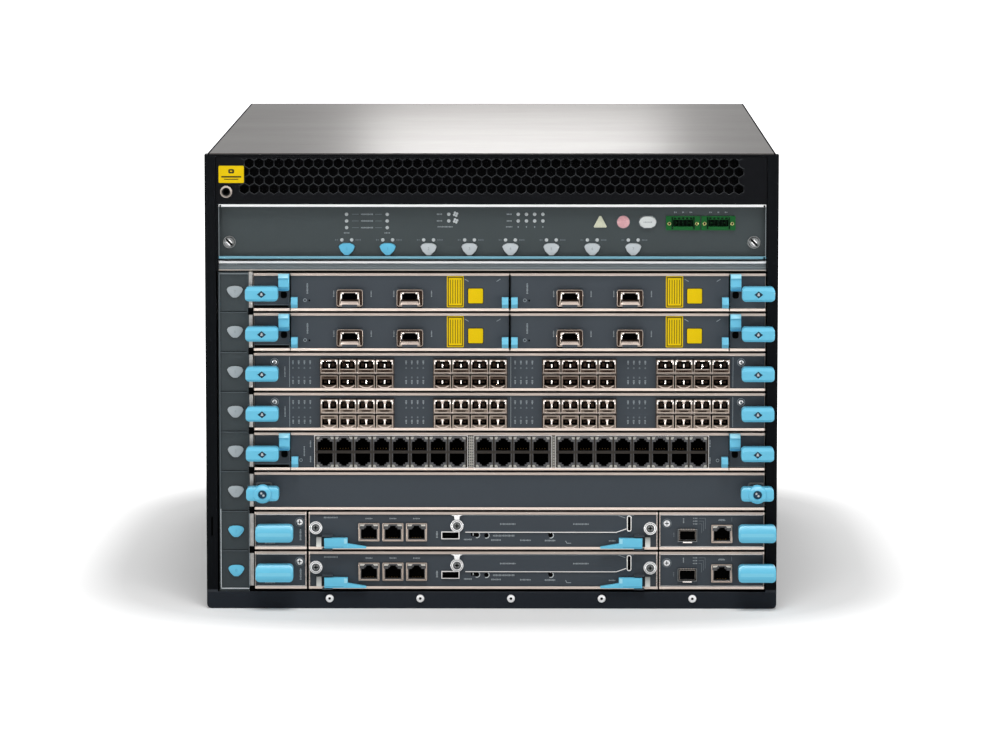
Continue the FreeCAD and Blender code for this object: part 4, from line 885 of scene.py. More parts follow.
    def figure(self, text: str, x: float, z: float, height: float, y: float) -> None:
        """A plain number, cut as a thin sheet in front of a face."""
        curve = bpy.data.curves.new("figure", "FONT")
        curve.body = text
        curve.align_x = "CENTER"
        curve.align_y = "CENTER"
        curve.size = height * 1.4
        curve.extrude = 0.03
        curve.resolution_u = 3
        holder = bpy.data.objects.new("figure", curve)
        bpy.context.scene.collection.objects.link(holder)
        bpy.context.view_layer.update()
        flat = bpy.data.meshes.new_from_object(holder.evaluated_get(bpy.context.evaluated_depsgraph_get()))
        flat.transform(Matrix.Translation((x, y, z)) @ Matrix.Rotation(math.pi / 2, 4, "X"))
        self.mesh.from_mesh(flat)
        bpy.data.objects.remove(holder)
        bpy.data.curves.remove(curve)
        bpy.data.meshes.remove(flat)


@dataclass
class Kit:
    """The added pieces of one sub-assembly: one mesh for each finish, all on one body."""

    label: str
    body: str
    shapes: dict[str, tuple[Finish, Shape]] = field(default_factory=dict)
    made: list[bpy.types.Object] = field(default_factory=list)
    origin: list[float] = field(default_factory=lambda: [0.0, 0.0])

    def __getitem__(self, finish: Finish) -> Shape:
        """The mesh that takes a finish."""
        if finish.name not in self.shapes:
            self.shapes[finish.name] = (finish, Shape(self.origin))
        return self.shapes[finish.name][1]

    def at(self, x: float = 0.0, z: float = 0.0) -> "Kit":
        """Moves the origin from which the next shapes are counted."""
        self.origin[:] = (x, z)
        return self

    def boxes(self, *rows: tuple) -> None:
        """Adds boxes, each given as finish, x, y and z limits and, if any, its rounding."""
        for finish, *limits in rows:
            self[finish].box(*limits)

    def words(self, finish: Finish, face: float, *rows: tuple) -> None:
        """Prints words on a face, each given as x, z, length, block height and, if it climbs, True."""
        for x, z, width, height, *upright in rows:
            self[finish].word(x, z, width, face, height, *upright)

    def close(self, *replaced: str) -> None:
        """Turns the meshes into pieces and reports them.

        Args:
            replaced: CAD nodes that the first piece stands for.
        """
        for name, (finish, shape) in self.shapes.items():
            bmesh.ops.transform(shape.mesh, matrix=TO_SCENE, verts=shape.mesh.verts)
            data = bpy.data.meshes.new(f"{self.label}_{name}")
            shape.mesh.to_mesh(data)
            shape.mesh.free()
            data.shade_smooth()
            data.set_sharp_from_angle(angle=math.radians(35))
            piece = bpy.data.objects.new(f"{self.label}_{name}", data)
            bpy.context.scene.collection.objects.link(piece)
            data.materials.append(finish.material())
            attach(piece, self.body)
            self.made.append(piece)
            log.info("%s rides on %s, %d faces", piece.name, self.body, len(data.polygons))
        if replaced:
            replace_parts(self.made[0], *replaced)


def dress(finish: Finish, *nodes: str) -> None:
    """Gives CAD nodes a finish."""
    for name in nodes:
        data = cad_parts[name].data
        data.materials.clear()
        data.materials.append(finish.material())
        log.info("%s takes %s", name, finish.name)


class Drive(Enum):
    """Slot in a screw head."""

    CROSS = "cross"
    SLOT = "slot"


@dataclass
class Screw:
    """A screw head seen from the front."""

    radius: float
    face: float
    height: float
    drive: Drive = Drive.CROSS
    reach: float = 0.62
    bold: float = 0.26

    def add(self, kit: Kit, finish: Finish = STEEL) -> None:
        """Head with its slot, over a black floor that is painted shade in the recess."""
        reach, thick = self.radius * self.reach, self.radius * self.bold
        a, b = (reach + thick / 2) * 0.707, (reach - thick / 2) * 0.707
        slot = cross(reach, thick) if self.drive is Drive.CROSS else [(a, -b), (b, -a), (-a, b), (-b, a)]
        front = self.face - self.height
        kit[finish].plate(circle(self.radius), [slot], (front, self.face), self.height * 0.4)
        kit[BLACK_AND_SHADE].rod(self.radius * 0.8, (front + self.height * 0.55, self.face), sides=12)


# Sub-assemblies


@dataclass
class Housing:
    """Sheet metal body, bezel and cover."""

    sill_screws: Sequence[float] = (-126.3, -55.6, 15.1, 85.8, 156.5)
    screw_z: float = 8.0
    window: tuple[float, float] = (174.0, 27.2)
    window_steps: tuple[float, float] = (123.0, 117.66)
    window_size: tuple[float, float] = (111.0, 105.7)
    screen_x: float = 218.4
    cell: float = 7.65
    web: float = 0.9

    def build(self) -> None:
        """Dresses the body and adds screws, rivets, side screens and a black sheet in the pillar's slit as painted
        shade.
        """
        dress(FRAME_BLACK, "front_bezel", "side_wall_left", "side_wall_right")
        dress(COVER_PAINT, "top_cover")
        dress(ZINC, "base_pan", "rear_panel", "cage_shelf")
        dress(GREEN_BOARD, "midplane")
        dress(GUIDE, "card_guides")
        kit = Kit("housing", "chassis")
        for x in self.sill_screws:
            Screw(3.15, 0.0, 1.5, reach=0.32, bold=0.42).add(kit.at(x, self.screw_z), SILL_BRIGHT)
        # Black sheet in the pillar's slit: painted shade.
        kit.at()[BLACK_AND_SHADE].box((-219.2, -216.6), (2.1, 2.6), (56.0, 73.0))
        self.rivets(kit)
        kit.close()
        self.screens()

    def rivets(self, kit: Kit) -> None:
        """Rivets along the side walls, where the rack brackets and the cover are held."""
        for z in (250.0, 300.0, 345.0):
            for y in (110.0, 360.0, 590.0):
                for side in (-1, 1):
                    place = Matrix.Translation((side * 219.55, y, z)) @ Matrix.Rotation(math.pi / 2, 4, "Y")
                    low, high = (1.9, 2.6)[::side]
                    bmesh.ops.create_cone(kit[STEEL].mesh, cap_ends=True, segments=16, radius1=high, radius2=low,
                                          depth=0.9, matrix=place)

    def screens(self) -> None:
        """Honeycomb screens set into the windows of both side walls."""
        kit = Kit("side_screens", "chassis")
        mesh = kit[SCREEN_BLACK].mesh
        row_pitch = self.cell * math.sqrt(3) / 2
        wide, high = self.window_size
        radius = self.cell / math.sqrt(3)
        for row in range(int(high / row_pitch) + 2):
            for column in range(int(wide / self.cell) + 2):
                y = self.window[0] - 2 + column * self.cell + (self.cell / 2 if row % 2 else 0.0)
                z = self.window[1] - 1 + row * row_pitch
                if y > self.window[0] + wide + 3.5 or z > self.window[1] + high + 3.5:
                    continue
                place = Matrix.Translation((self.screen_x, y, z)) @ Matrix.Rotation(math.pi / 2, 4, "Y")
                bmesh.ops.create_circle(mesh, cap_ends=True, segments=6, radius=radius,
                                        matrix=place @ Matrix.Rotation(math.pi / 2, 4, "Z"))
        bmesh.ops.remove_doubles(mesh, verts=mesh.verts, dist=0.01)
        bmesh.ops.recalc_face_normals(mesh, faces=mesh.faces)
        inner = list(mesh.faces)
        bmesh.ops.inset_individual(mesh, faces=inner, thickness=self.web / 2)
        bmesh.ops.delete(mesh, geom=inner, context="FACES")
        grown = bmesh.ops.extrude_face_region(mesh, geom=list(mesh.faces))["geom"]
        bmesh.ops.translate(mesh, vec=(-0.6, 0, 0), verts=[g for g in grown if isinstance(g, bmesh.types.BMVert)])
        bmesh.ops.recalc_face_normals(mesh, faces=mesh.faces)
        first = list(mesh.verts) + list(mesh.edges) + list(mesh.faces)
        places = [(column, row, side) for column in range(3) for row in range(2) for side in (0, 1)]
        for column, row, side in places[1:]:
            copy = bmesh.ops.duplicate(mesh, geom=first)["geom"]
            step = (0.6 * side - 2 * self.screen_x * side, column * self.window_steps[0], row * self.window_steps[1])
            bmesh.ops.translate(mesh, vec=step, verts=[g for g in copy if isinstance(g, bmesh.types.BMVert)])
        kit.close()


@dataclass
class IntakePanel:
    """Black panel with honeycomb cells, the filter behind it, the socket and the plain yellow field."""

    field_at: tuple[float, float] = (-201.3, 339.25)
    field_size: tuple[float, float] = (19.6, 13.3)

    def build(self) -> None:
        """Dresses the panel and adds what it carries."""
        dress(INTAKE_BLACK, "intake_grille")
        dress(SOCKET_COLLAR, "wrist_socket")
        kit = Kit("intake", "chassis")
        kit[FILTER].box(211.0, (8.0, 12.0), (319.0, 350.5), 0.5)
        kit.at(*self.field_at)
        kit[YELLOW_INK].plate(oblong(*self.field_size, 0.9), [], (0.8, 1.0))
        kit[DARK_INK].plate(oblong(4.6, 3.4, 1.2, z=2.4), [], (0.72, 0.82))
        kit[YELLOW_INK].plate(oblong(1.8, 1.0, 0.4, z=2.4), [], (0.66, 0.74))
        kit.boxes((DARK_INK, 7.7, (0.72, 0.82), (-2.45, -1.35)), (DARK_INK, 5.5, (0.72, 0.82), (-4.1, -3.5)))
        kit.close()


@dataclass
class CraftPanel:
    """Grey channel with lamps, shield buttons, alarm lamps and relay sockets."""

    shield_x: float = -112.3
    shield_pitch: float = 31.72
    shield_z: float = 280.8
    lamp_rows: Sequence[float] = (307.9, 302.7, 297.5)
    lip: tuple[float, float] = (-211.3, 212.4)

    def build(self) -> None:
        """Dresses the panel and adds its fittings."""
        dress(CRAFT, "craft_panel")
        dress(SHIELDS, "slot_buttons")
        dress(CAP, "alarm_button")
        dress(GREEN_SOCKET, "alarm_sockets")
        kit = Kit("craft", "chassis")
        self.edges(kit)
        self.lamps(kit)
        self.alarm_lamps(kit)
        self.relays(kit)
        for x in (-203.3, 203.3):
            kit.at(x, 286.3)[DARK_STEEL].ring(4.9, 4.2, (CRAFT_FACE - 1.2, CRAFT_FACE), 0.3, 28)
            kit[BLACK_AND_SHADE].rod(4.3, (CRAFT_FACE - 0.3, CRAFT_FACE), sides=24)
            Screw(3.7, CRAFT_FACE - 0.2, 2.8, Drive.SLOT, 0.95, 0.4).add(kit, DARK_STEEL)
            for turn in (-1, 1):
                # Two chrome wedges on each screw head: painted highlight.
                shine = [(turn * a, turn * b) for a, b in ((-0.6, 1.9), (1.9, -0.6), (2.4, 0.0), (0.0, 2.4))]
                kit[CHROME].plate(shine, [], (CRAFT_FACE - 3.1, CRAFT_FACE - 2.9))
        kit.close()
        cap = Kit("alarm_cap", "alarm_button")
        cap[GREY_INK].word(120.9, 302.1, 7.0, 4.0, 1.0)
        cap.close()

    def lamp(self, kit: Kit, x: float, z: float) -> None:
        """One small domed lamp."""
        kit[PALE_LENS].rod(1.4, (CRAFT_FACE - 0.55, CRAFT_FACE), 0.4, 12, x, z)

    def edges(self, kit: Kit) -> None:
        """Upper lip in white as a painted highlight, light blue lower lip, side edges, and the lines of the header
        below, its top line also a painted highlight.
        """
        kit.boxes((LIP_HIGHLIGHT, self.lip, (0.3, 1.4), (314.1, 316.0), 0.2),
                  (LIP_BLUE, self.lip, (0.3, 1.4), (273.8, 275.8), 0.2),
                  (GREY_INK, (-211.35, -210.85), (0.9, 1.6), (275.8, 314.1)),
                  (GREY_INK, (211.85, 212.35), (0.9, 1.6), (275.8, 314.1)),
                  (FRAME_BLACK, (-213.2, -211.4), (0.1, 1.3), (263.9, 316.2)),
                  (FRAME_BLACK, (212.5, 213.2), (0.1, 1.3), (263.9, 316.2)),
                  (LIP_HIGHLIGHT, self.lip, (1.6, 3.0), (270.2, 271.9), 0.1),
                  (LIP_LINE, self.lip, (1.7, 3.0), (266.9, 267.5)),
                  (BLACK_AND_SHADE, self.lip, (1.75, 3.0), (263.6, 264.5)))
        for x, z in ((-209.9, 314.9), (211.0, 314.9), (211.0, 274.6)):
            kit[BLACK_AND_SHADE].rod(0.8, (0.2, 0.6), sides=12, x=x, z=z)

    def lamps(self, kit: Kit) -> None:
        """Lamp groups, their lines and the pairs over the shields."""
        for z in self.lamp_rows:
            for x in (-112.4, -80.9):
                self.lamp(kit, x, z)
            kit[GREY_INK].word(-96.6, z, 9.6, CRAFT_FACE, 1.1)
            for x in (-105.6, -87.7):
                kit[DIM_INK].box((x - 2.6, x + 2.6), CRAFT_PRINT, (z - 0.2, z + 0.2))
        kit.words(GREY_INK, CRAFT_FACE, (-112.4, 293.4, 4.6, 1.0), (-80.9, 293.4, 4.6, 1.0), (-36.0, 298.2, 12.0, 1.0),
                  (13.6, 298.2, 5.2, 1.0))
        for z in (308.0, 302.8):
            self.lamp(kit, -33.2, z)
            kit.words(GREY_INK, CRAFT_FACE, (-40.4, z, 4.4, 1.1), (13.6, z, 4.0, 1.0))
            for turn in range(4):
                angle = math.pi / 2 * turn + 0.4
                kit[WHITE_INK].rod(1.0, (CRAFT_FACE - 0.05, CRAFT_FACE), sides=8, x=-27.9 + 1.25 * math.cos(angle),
                                   z=z + 1.25 * math.sin(angle))
        for x in (20.6 + column * 6.37 for column in range(4)):
            self.lamp(kit, x, 308.0)
            self.lamp(kit, x, 302.8)
            kit[GREY_INK].box((x - 0.4, x + 0.4), CRAFT_PRINT, (297.6, 298.7))
        for k in range(SLOTS):
            x = self.shield_x + k * self.shield_pitch
            for side in (-1, 1):
                self.lamp(kit, x + side * 3.8, 288.0)
            kit.words(DIM_INK, CRAFT_FACE, (x - 8.0, 288.0, 2.6, 1.1), (x + 8.8, 288.0, 4.4, 1.1))
            kit[BLUE_MID if k < 2 else GREY_INK].figure(str(k), x, self.shield_z + 0.4, 2.2, 4.86)

    def alarm_lamps(self, kit: Kit) -> None:
        """Lens faces over the triangular and the round lamp, and the seat of the oval button."""
        lens = (CRAFT_FACE - 1.0, CRAFT_FACE - 0.5)
        low, high = 297.9, 306.8
        kit[LIME_LENS].plate([(79.0, low + 0.5), (79.7, low - 0.2), (88.6, low - 0.2), (89.3, low + 0.5), (84.9, high),
                              (83.4, high)], [], lens, 0.4)
        kit.at(102.0, 302.1)[PINK_LENS].rod(4.9, lens, 0.4, 28)
        kit[DIM_INK].ring(5.2, 4.7, (CRAFT_FACE - 0.6, CRAFT_FACE - 0.3), sides=28)
        kit.at(120.9, 302.1)[DIM_INK].plate(oblong(14.4, 10.2, 5.0, 5), [oblong(13.6, 9.4, 4.6, 5)],
                                            (CRAFT_FACE - 0.1, CRAFT_FACE))

    def relays(self, kit: Kit) -> None:
        """Terminals, screw heads, ribs and edges of the green sockets, with the ribs, edges and interior painted dark
        green as shade.
        """
        for x in (148.3, 175.6):
            for side in (-1, 1):
                kit.at(x + side * 10.7, 300.9)[BRASS].rod(1.4, (4.2, 4.9), 0.3, 14)
                kit[BLACK_AND_SHADE].rod(0.8, (4.1, 4.3), sides=10)
                kit.at(x + side * 8.4, 301.3)[GREEN_SHADE].box(0.5, (4.4, 4.95), 4.6, 0.1)
            kit.at(x, 301.3)[GREEN_SHADE].box(7.6, (11.0, 11.6), 2.7)
            for px in (-6.2, -3.1, 0.0, 3.1, 6.2):
                kit.boxes((GREEN_SHADE, (px - 0.3, px + 0.3), (5.2, 6.6), (-2.7, 2.4), 0.05),
                          (GREEN_SHADE, (px - 0.9, px + 0.9), (4.5, 5.0), (3.2, 4.4), 0.1))
            for k in (-1, 0, 1):
                kit[GREEN_SOCKET].box((k * 4.9 - 0.4, k * 4.9 + 0.4), (7.5, 11.4), 0.5, 0.1)
                kit[GREY_INK].word(k * 6.0, 8.3, 2.4 if k else 1.2, CRAFT_FACE, 1.1)


@dataclass
class CageFront:
    """Header rail, notched rail and the slot number strip."""

    strip_z: Sequence[float] = (247.9, 216.6, 185.3, 154.2, 123.1, 91.6, 60.3, 29.4)
    strip_x: float = -199.1

    def build(self) -> None:
        """Dresses the rails, numbers the slots and adds the strip's lines and bare edges, with black as painted shade
        in the notches and gaps.
        """
        dress(RAIL, "cage_rails")
        dress(STRIP_PAINT, "slot_strip")
        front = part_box("slot_strip")[0].y * 1000 + DEPTH_MIDDLE
        kit = Kit("cage_front", "chassis")
        for k, z in enumerate(self.strip_z):
            blue = k >= 6
            kit[BLUE if blue else STRIP_SHIELD].plate(shield(12.5, 9.3, self.strip_x, z), [], (front - 0.6, front), 0.3)
            kit[BLUE_MID if blue else GREY_INK].figure(str(7 - k), self.strip_x, z + 0.3, 2.2, front - 0.66)
        for k in range(1, SLOTS):
            z = PLATE_Z0 + k * SLOT_PITCH - 0.9
            kit.boxes((BLACK_AND_SHADE, (-211.4, -189.6), (front - 0.04, front), (z - 0.2, z + 0.25)),
                      (DIM_INK, (-211.4, -189.6), (front - 0.05, front), (z - 0.55, z - 0.2)))
        edge = (front - 0.3, front + 0.5)
        kit.boxes((DIM_INK, (-211.2, -210.8), edge, (78.0, 262.0)), (WHITE_INK, (-211.2, -210.6), edge, (15.2, 78.0)),
                  (WHITE_INK, (-211.2, -188.6), edge, (15.0, 15.8)), (GREY_INK, (-189.0, -188.4), edge, (15.0, 77.0)),
                  (GREY_INK, (-211.2, -188.4), edge, (261.7, 262.2)))
        # Black in the notch under each slot and in the gap beside each card: painted shade.
        for slot in range(1, SLOTS + 1):
            kit.at(0.0, slot_z(slot)).boxes((BLACK_AND_SHADE, (-188.8, -184.7), (1.0, 1.95), (-3.0, 2.4), 0.2),
                                            (BLACK_AND_SHADE, (-185.3, -184.7), (1.2, 1.97), (2.0, 28.0)))
        kit.at()[STRIP_PAINT].box((-190.0, -188.3), (front - 0.12, front + 0.5), (15.4, 262.0))
        kit.close()


@dataclass
class Knobs:
    """Turning handles of the first six cards, and the barrel handles of the last two."""

    knob_x: tuple[float, float] = (-177.3, 206.0)
    grip_x: tuple[float, float] = (-168.4, 206.2)
    front: float = -22.0
    back: float = -9.0
    rise: float = 15.0

    def build(self) -> None:
        """Replaces each CAD handle by a rounded one."""
        for slot in range(1, SLOTS + 1):
            barrel = slot > 6
            draw = self.barrel if barrel else self.round_knob if slot == 6 else self.bar_knob
            for side, x in zip(("left", "right"), self.grip_x if barrel else self.knob_x):
                name = f"{'handle' if barrel else 'knob'}_{slot}_{side}"
                kit = Kit(name, name).at(x, slot_z(slot) + self.rise)
                draw(kit)
                # Neck behind the handle, painted dark blue as shade.
                kit[BLUE_SHADE].plate(oblong(8.0, 7.4, 1.5), [], (self.back - 0.5, 2.85))
                kit.close(name)

    def slope(self, shape: Shape, high: float, low: float, rate: float) -> None:
        """Leans the front of a handle back above and below its middle.

        Args:
            shape: the handle's mesh.
            high: where the upper facet starts.
            low: where the lower facet starts.
            rate: depth gained for each millimetre of height.
        """
        mesh = shape.mesh
        high, low = high + shape.origin[1], low + shape.origin[1]
        for level in (high, low):
            whole = list(mesh.verts) + list(mesh.edges) + list(mesh.faces)
            bmesh.ops.bisect_plane(mesh, geom=whole, plane_co=(0, 0, level), plane_no=(0, 0, 1))
        for vert in mesh.verts:
            lean = max(vert.co.z - high, low - vert.co.z, 0.0) * rate
            if vert.co.y + lean < self.front + 6.6:
                vert.co.y += lean

    def bar_knob(self, kit: Kit) -> None:
        """Rounded bar with sloping facets, a diamond recess painted dark as shade, and a pale pin."""
        diamond = [(-3.5, 0.0), (0.0, -2.8), (3.5, 0.0), (0.0, 2.8)]
        bar = oblong(25.2, 11.0, 3.0, 5)
        kit[BLUE].plate(bar, [diamond], (self.front, self.front + 7.0), 1.1, 3)
        self.slope(kit[BLUE], 2.9, -3.7, 0.95)
        kit[BLUE].plate(bar, [], (self.front + 6.9, self.back))
        kit[BLUE_SHADE].plate(diamond, [], (self.front + 1.8, self.front + 3.0))
        kit[WHITE_INK].plate(taper(1.1, -1.0, 0.5, 1.2), [], (self.front + 0.7, self.front + 2.4), 0.2)

    def round_knob(self, kit: Kit) -> None:
        """Bar with a round swell, whose dish, painted dark as shade, holds a pale pin."""
        ends = oblong(25.2, 10.6, 3.0, 5)
        kit[BLUE].plate(ends, [circle(4.9)], (self.front + 0.9, self.front + 7.0), 1.1, 3)
        kit[BLUE].plate(circle(7.2, 32), [circle(3.4, 32)], (self.front - 0.3, self.front + 6.8), 1.0, 3)
        self.slope(kit[BLUE], 2.9, -3.7, 0.6)
        kit[BLUE].plate(ends, [], (self.front + 6.9, self.back))
        kit[BLUE_MID].ring(3.7, 3.3, (self.front - 0.36, self.front - 0.2))
        kit[BLUE_SHADE].rod(3.5, (self.front + 1.4, self.front + 4.0), 0.3)
        kit[WHITE_INK].rod(0.9, (self.front + 0.6, self.front + 1.6), 0.2, 10, -0.9, 0.9)
        kit[WHITE_INK].rod(0.9, (self.front + 0.8, self.front + 1.6), 0.2, 10, 0.8, -0.9)

    def barrel(self, kit: Kit) -> None:
        """Barrel-shaped handle with a long sloping upper facet and a painted highlight along its crest."""
        bar = oblong(29.0, 13.0, 3.2, 6)
        kit[BLUE].plate(bar, [], (self.front, self.front + 7.0), 1.0, 3)
        self.slope(kit[BLUE], 1.0, -4.2, 0.62)
        kit[BLUE].plate(bar, [], (self.front + 6.9, self.back))
        # Painted highlight band along the crest.
        kit[BLUE_CREST_HIGHLIGHT].plate(oblong(26.4, 2.6, 1.2, z=-0.4), [], (self.front - 0.05, self.front + 0.6), 0.04, 1)


def dress_end_plates(kit: Kit, z0: float) -> None:
    """Finger holes, lit tab tops and edge lines of a carrier's two end plates.

    Args:
        kit: pieces of the carrier.
        z0: underside of its faceplate.
    """
    line = (WEB - 0.06, WEB)
    for x, x0, x1, foot in ((-161.2, -184.3, -157.2, (4.2, 4.4, 4.8)), (189.2, 185.4, 212.1, (2.5, 2.6, 2.9))):
        kit.at(x, z0)[BLACK_AND_SHADE].plate(oblong(5.0, 5.4, 1.8, z=12.4), [], (WEB - 0.1, WEB))
        kit[BLUE_HIGHLIGHT].bar([(-7.0, 26.4), (-4.4, 29.0), (1.0, 29.05), (1.0, 28.6), (-6.9, 26.0)], 3.9, 0.1)
        kit[BLUE_MID].box(4.0, (-6.6, 1.0), (16.3, 16.62), 0.1)
        end = (x1 - 0.25, x1) if x > 0 else (x1, x1 + 0.25)
        kit.at(0.0, z0).boxes((DIM_INK, (x0, x1), line, foot[1:]),
                              (BLACK_AND_SHADE, (x0, x1), (WEB - 0.04, WEB), (2.1, foot[0])),
                              (DIM_INK, end, line, (2.4, 26.8)))


@dataclass
class Modules:
    """Carrier cards of the first two slots with their pairs of modules."""

    shift: float = 170.55
    ports: Sequence[Sequence[float]] = ((-109.9, -63.3), (60.65, 107.25))
    fields: Sequence[tuple[float, float]] = ((-34.7, -21.6), (135.1, 148.5))
    ends: Sequence[tuple[float, float]] = ((-156.1, 13.85), (14.45, 184.4))

    def build(self) -> None:
        """Dresses both slots and adds ports, colour fields and marks."""
        for slot in (1, 2):
            dress(SLATE_TABS, f"carrier_{slot}", f"module_{slot}_left", f"module_{slot}_right")
            z0 = slot_z(slot)
            for k, side in enumerate(("left", "right")):
                kit = Kit(f"module_{slot}_{side}", f"module_{slot}_{side}")
                for x in self.ports[k]:
                    self.port(kit.at(x, z0))
                self.colour_fields(kit.at(0.0, z0), *self.fields[k])
                self.marks(kit.at(k * self.shift, z0))
                x0, x1 = self.ends[k]
                # Black strips in the gaps at both ends of a module: painted shade.
                for x in (x0 + 0.02, x1 - 0.45):
                    kit.at(x, z0)[BLACK_AND_SHADE].box((0.0, 0.43), (1.95, WEB), (0.6, 28.4))
                kit.close()
            kit = Kit(f"carrier_{slot}", f"carrier_{slot}")
            dress_end_plates(kit, z0)
            kit.close()

    def port(self, kit: Kit) -> None:
        """Dark shell painted as the dark reflection of its metal, thin bright rims on it and on its funnel as painted
        highlights, its mouth, the lip below it and a painted shadow under the lip.
        """
        # The shell's dark bronze is painted dark reflection and shade; its thin rims are painted highlights.
        kit[SHELL_SHADE].plate(oblong(20.4, 14.4, 1.8, z=9.9), [rect(-6.1, 6.1, 8.4, 14.5)], (-2.9, 2.6), 0.4)
        kit[SHELL_AND_HIGHLIGHT].plate(oblong(20.2, 13.0, 1.6, z=10.5), [oblong(19.5, 12.3, 1.4, z=10.5)], (-3.1, -2.7), 0.1, 1)
        # Black strip under the lip: painted shadow.
        kit[BLACK_AND_SHADE].box(9.4, (-2.96, -2.8), (2.8, 3.8))
        kit[SHELL_AND_HIGHLIGHT].plate(taper(8.0, 4.7, 6.9, 15.1), [taper(7.4, 5.3, 6.4, 14.6)], (-3.3, -2.8), 0.1, 1)
        kit[BLACK_AND_SHADE].plate(rect(-6.6, 6.6, 8.0, 14.9), [], (1.6, 2.4))
        kit[SHELL_SHADE].plate(rect(-6.6, 6.6, 8.0, 14.9), [rect(-5.5, 5.5, 9.0, 13.8)], (-1.8, 1.7))
        kit[SHELL_LIP].plate(taper(7.6, 5.0, 6.3, 8.1), [], (-4.6, -3.0), 0.5)
        kit[SHELL_AND_HIGHLIGHT].box(8.8, (-3.25, -2.8), (4.0, 4.5))
        for side in (-1, 1):
            kit[SHELL_SHADE].box((side * 8.9 - 0.5, side * 8.9 + 0.5), (-3.0, -2.8), (8.0, 13.4), 0.1)
            kit[LATCH_AND_HIGHLIGHT].rod(0.75, (-3.7, -3.2), 0.25, 10, side * 5.2, 14.3)
            kit[LATCH_AND_HIGHLIGHT].box((side * 6.5 - 0.3, side * 6.5 + 0.3), (-3.5, -3.1), (9.6, 13.8), 0.1)

    def colour_fields(self, kit: Kit, x0: float, x1: float) -> None:
        """Plain yellow field with stripes, and a smaller square one beside it."""
        low, high, middle = 2.7, 27.2, (x0 + x1) / 2
        kit[YELLOW_INK].plate(oblong(x1 - x0, high - low, 0.7, x=middle, z=(low + high) / 2), [], (WEB - 0.1, WEB))
        kit[DARK_INK].plate(rect(x0 + 0.8, x1 - 0.8, low + 0.8, high - 0.8),
                            [rect(x0 + 1.45, x1 - 1.45, low + 1.45, high - 1.45)], (WEB - 0.16, WEB - 0.1))
        for k in range(5):
            x = middle + (k - 2) * 1.9
            kit[DARK_INK].box((x - 0.25, x + 0.25), (WEB - 0.15, WEB - 0.1), (low + 3.0, high - 3.0))
        kit[DARK_INK].plate(oblong(12.6, 12.6, 1.2, x=x0 + 22.3, z=11.6), [], (WEB - 0.1, WEB))
        kit[YELLOW_INK].plate(oblong(11.4, 11.4, 0.9, x=x0 + 22.3, z=11.6), [], (WEB - 0.18, WEB - 0.09))

    def marks(self, kit: Kit) -> None:
        """Small lamp and printed marks of a module, counted from those of the left one."""
        kit.words(GREY_INK, WEB, (-142.9, 17.4, 8.4, 1.3, True), *((x, 13.2, 5.0, 0.9, True) for x in (
            -122.4, -93.4, -75.8, -46.6)))
        for x, way in ((-19.4, 1), (5.4, -1)):
            kit[GREY_INK].plate([(x - 1.5, 23.6 + way * 0.9), (x + 1.5, 23.6 - way * 0.9), (x + 1.5, 24.1 - way * 0.9),
                                 (x - 1.5, 24.1 + way * 0.9)], [], PRINT)
        kit[BLACK_AND_SHADE].rod(0.8, PRINT, sides=10, x=-141.4, z=8.0)
        kit.at(kit.origin[0] - 144.8, kit.origin[1] + 8.2)[GREY_INK].ring(1.4, 0.95, PRINT, sides=14)


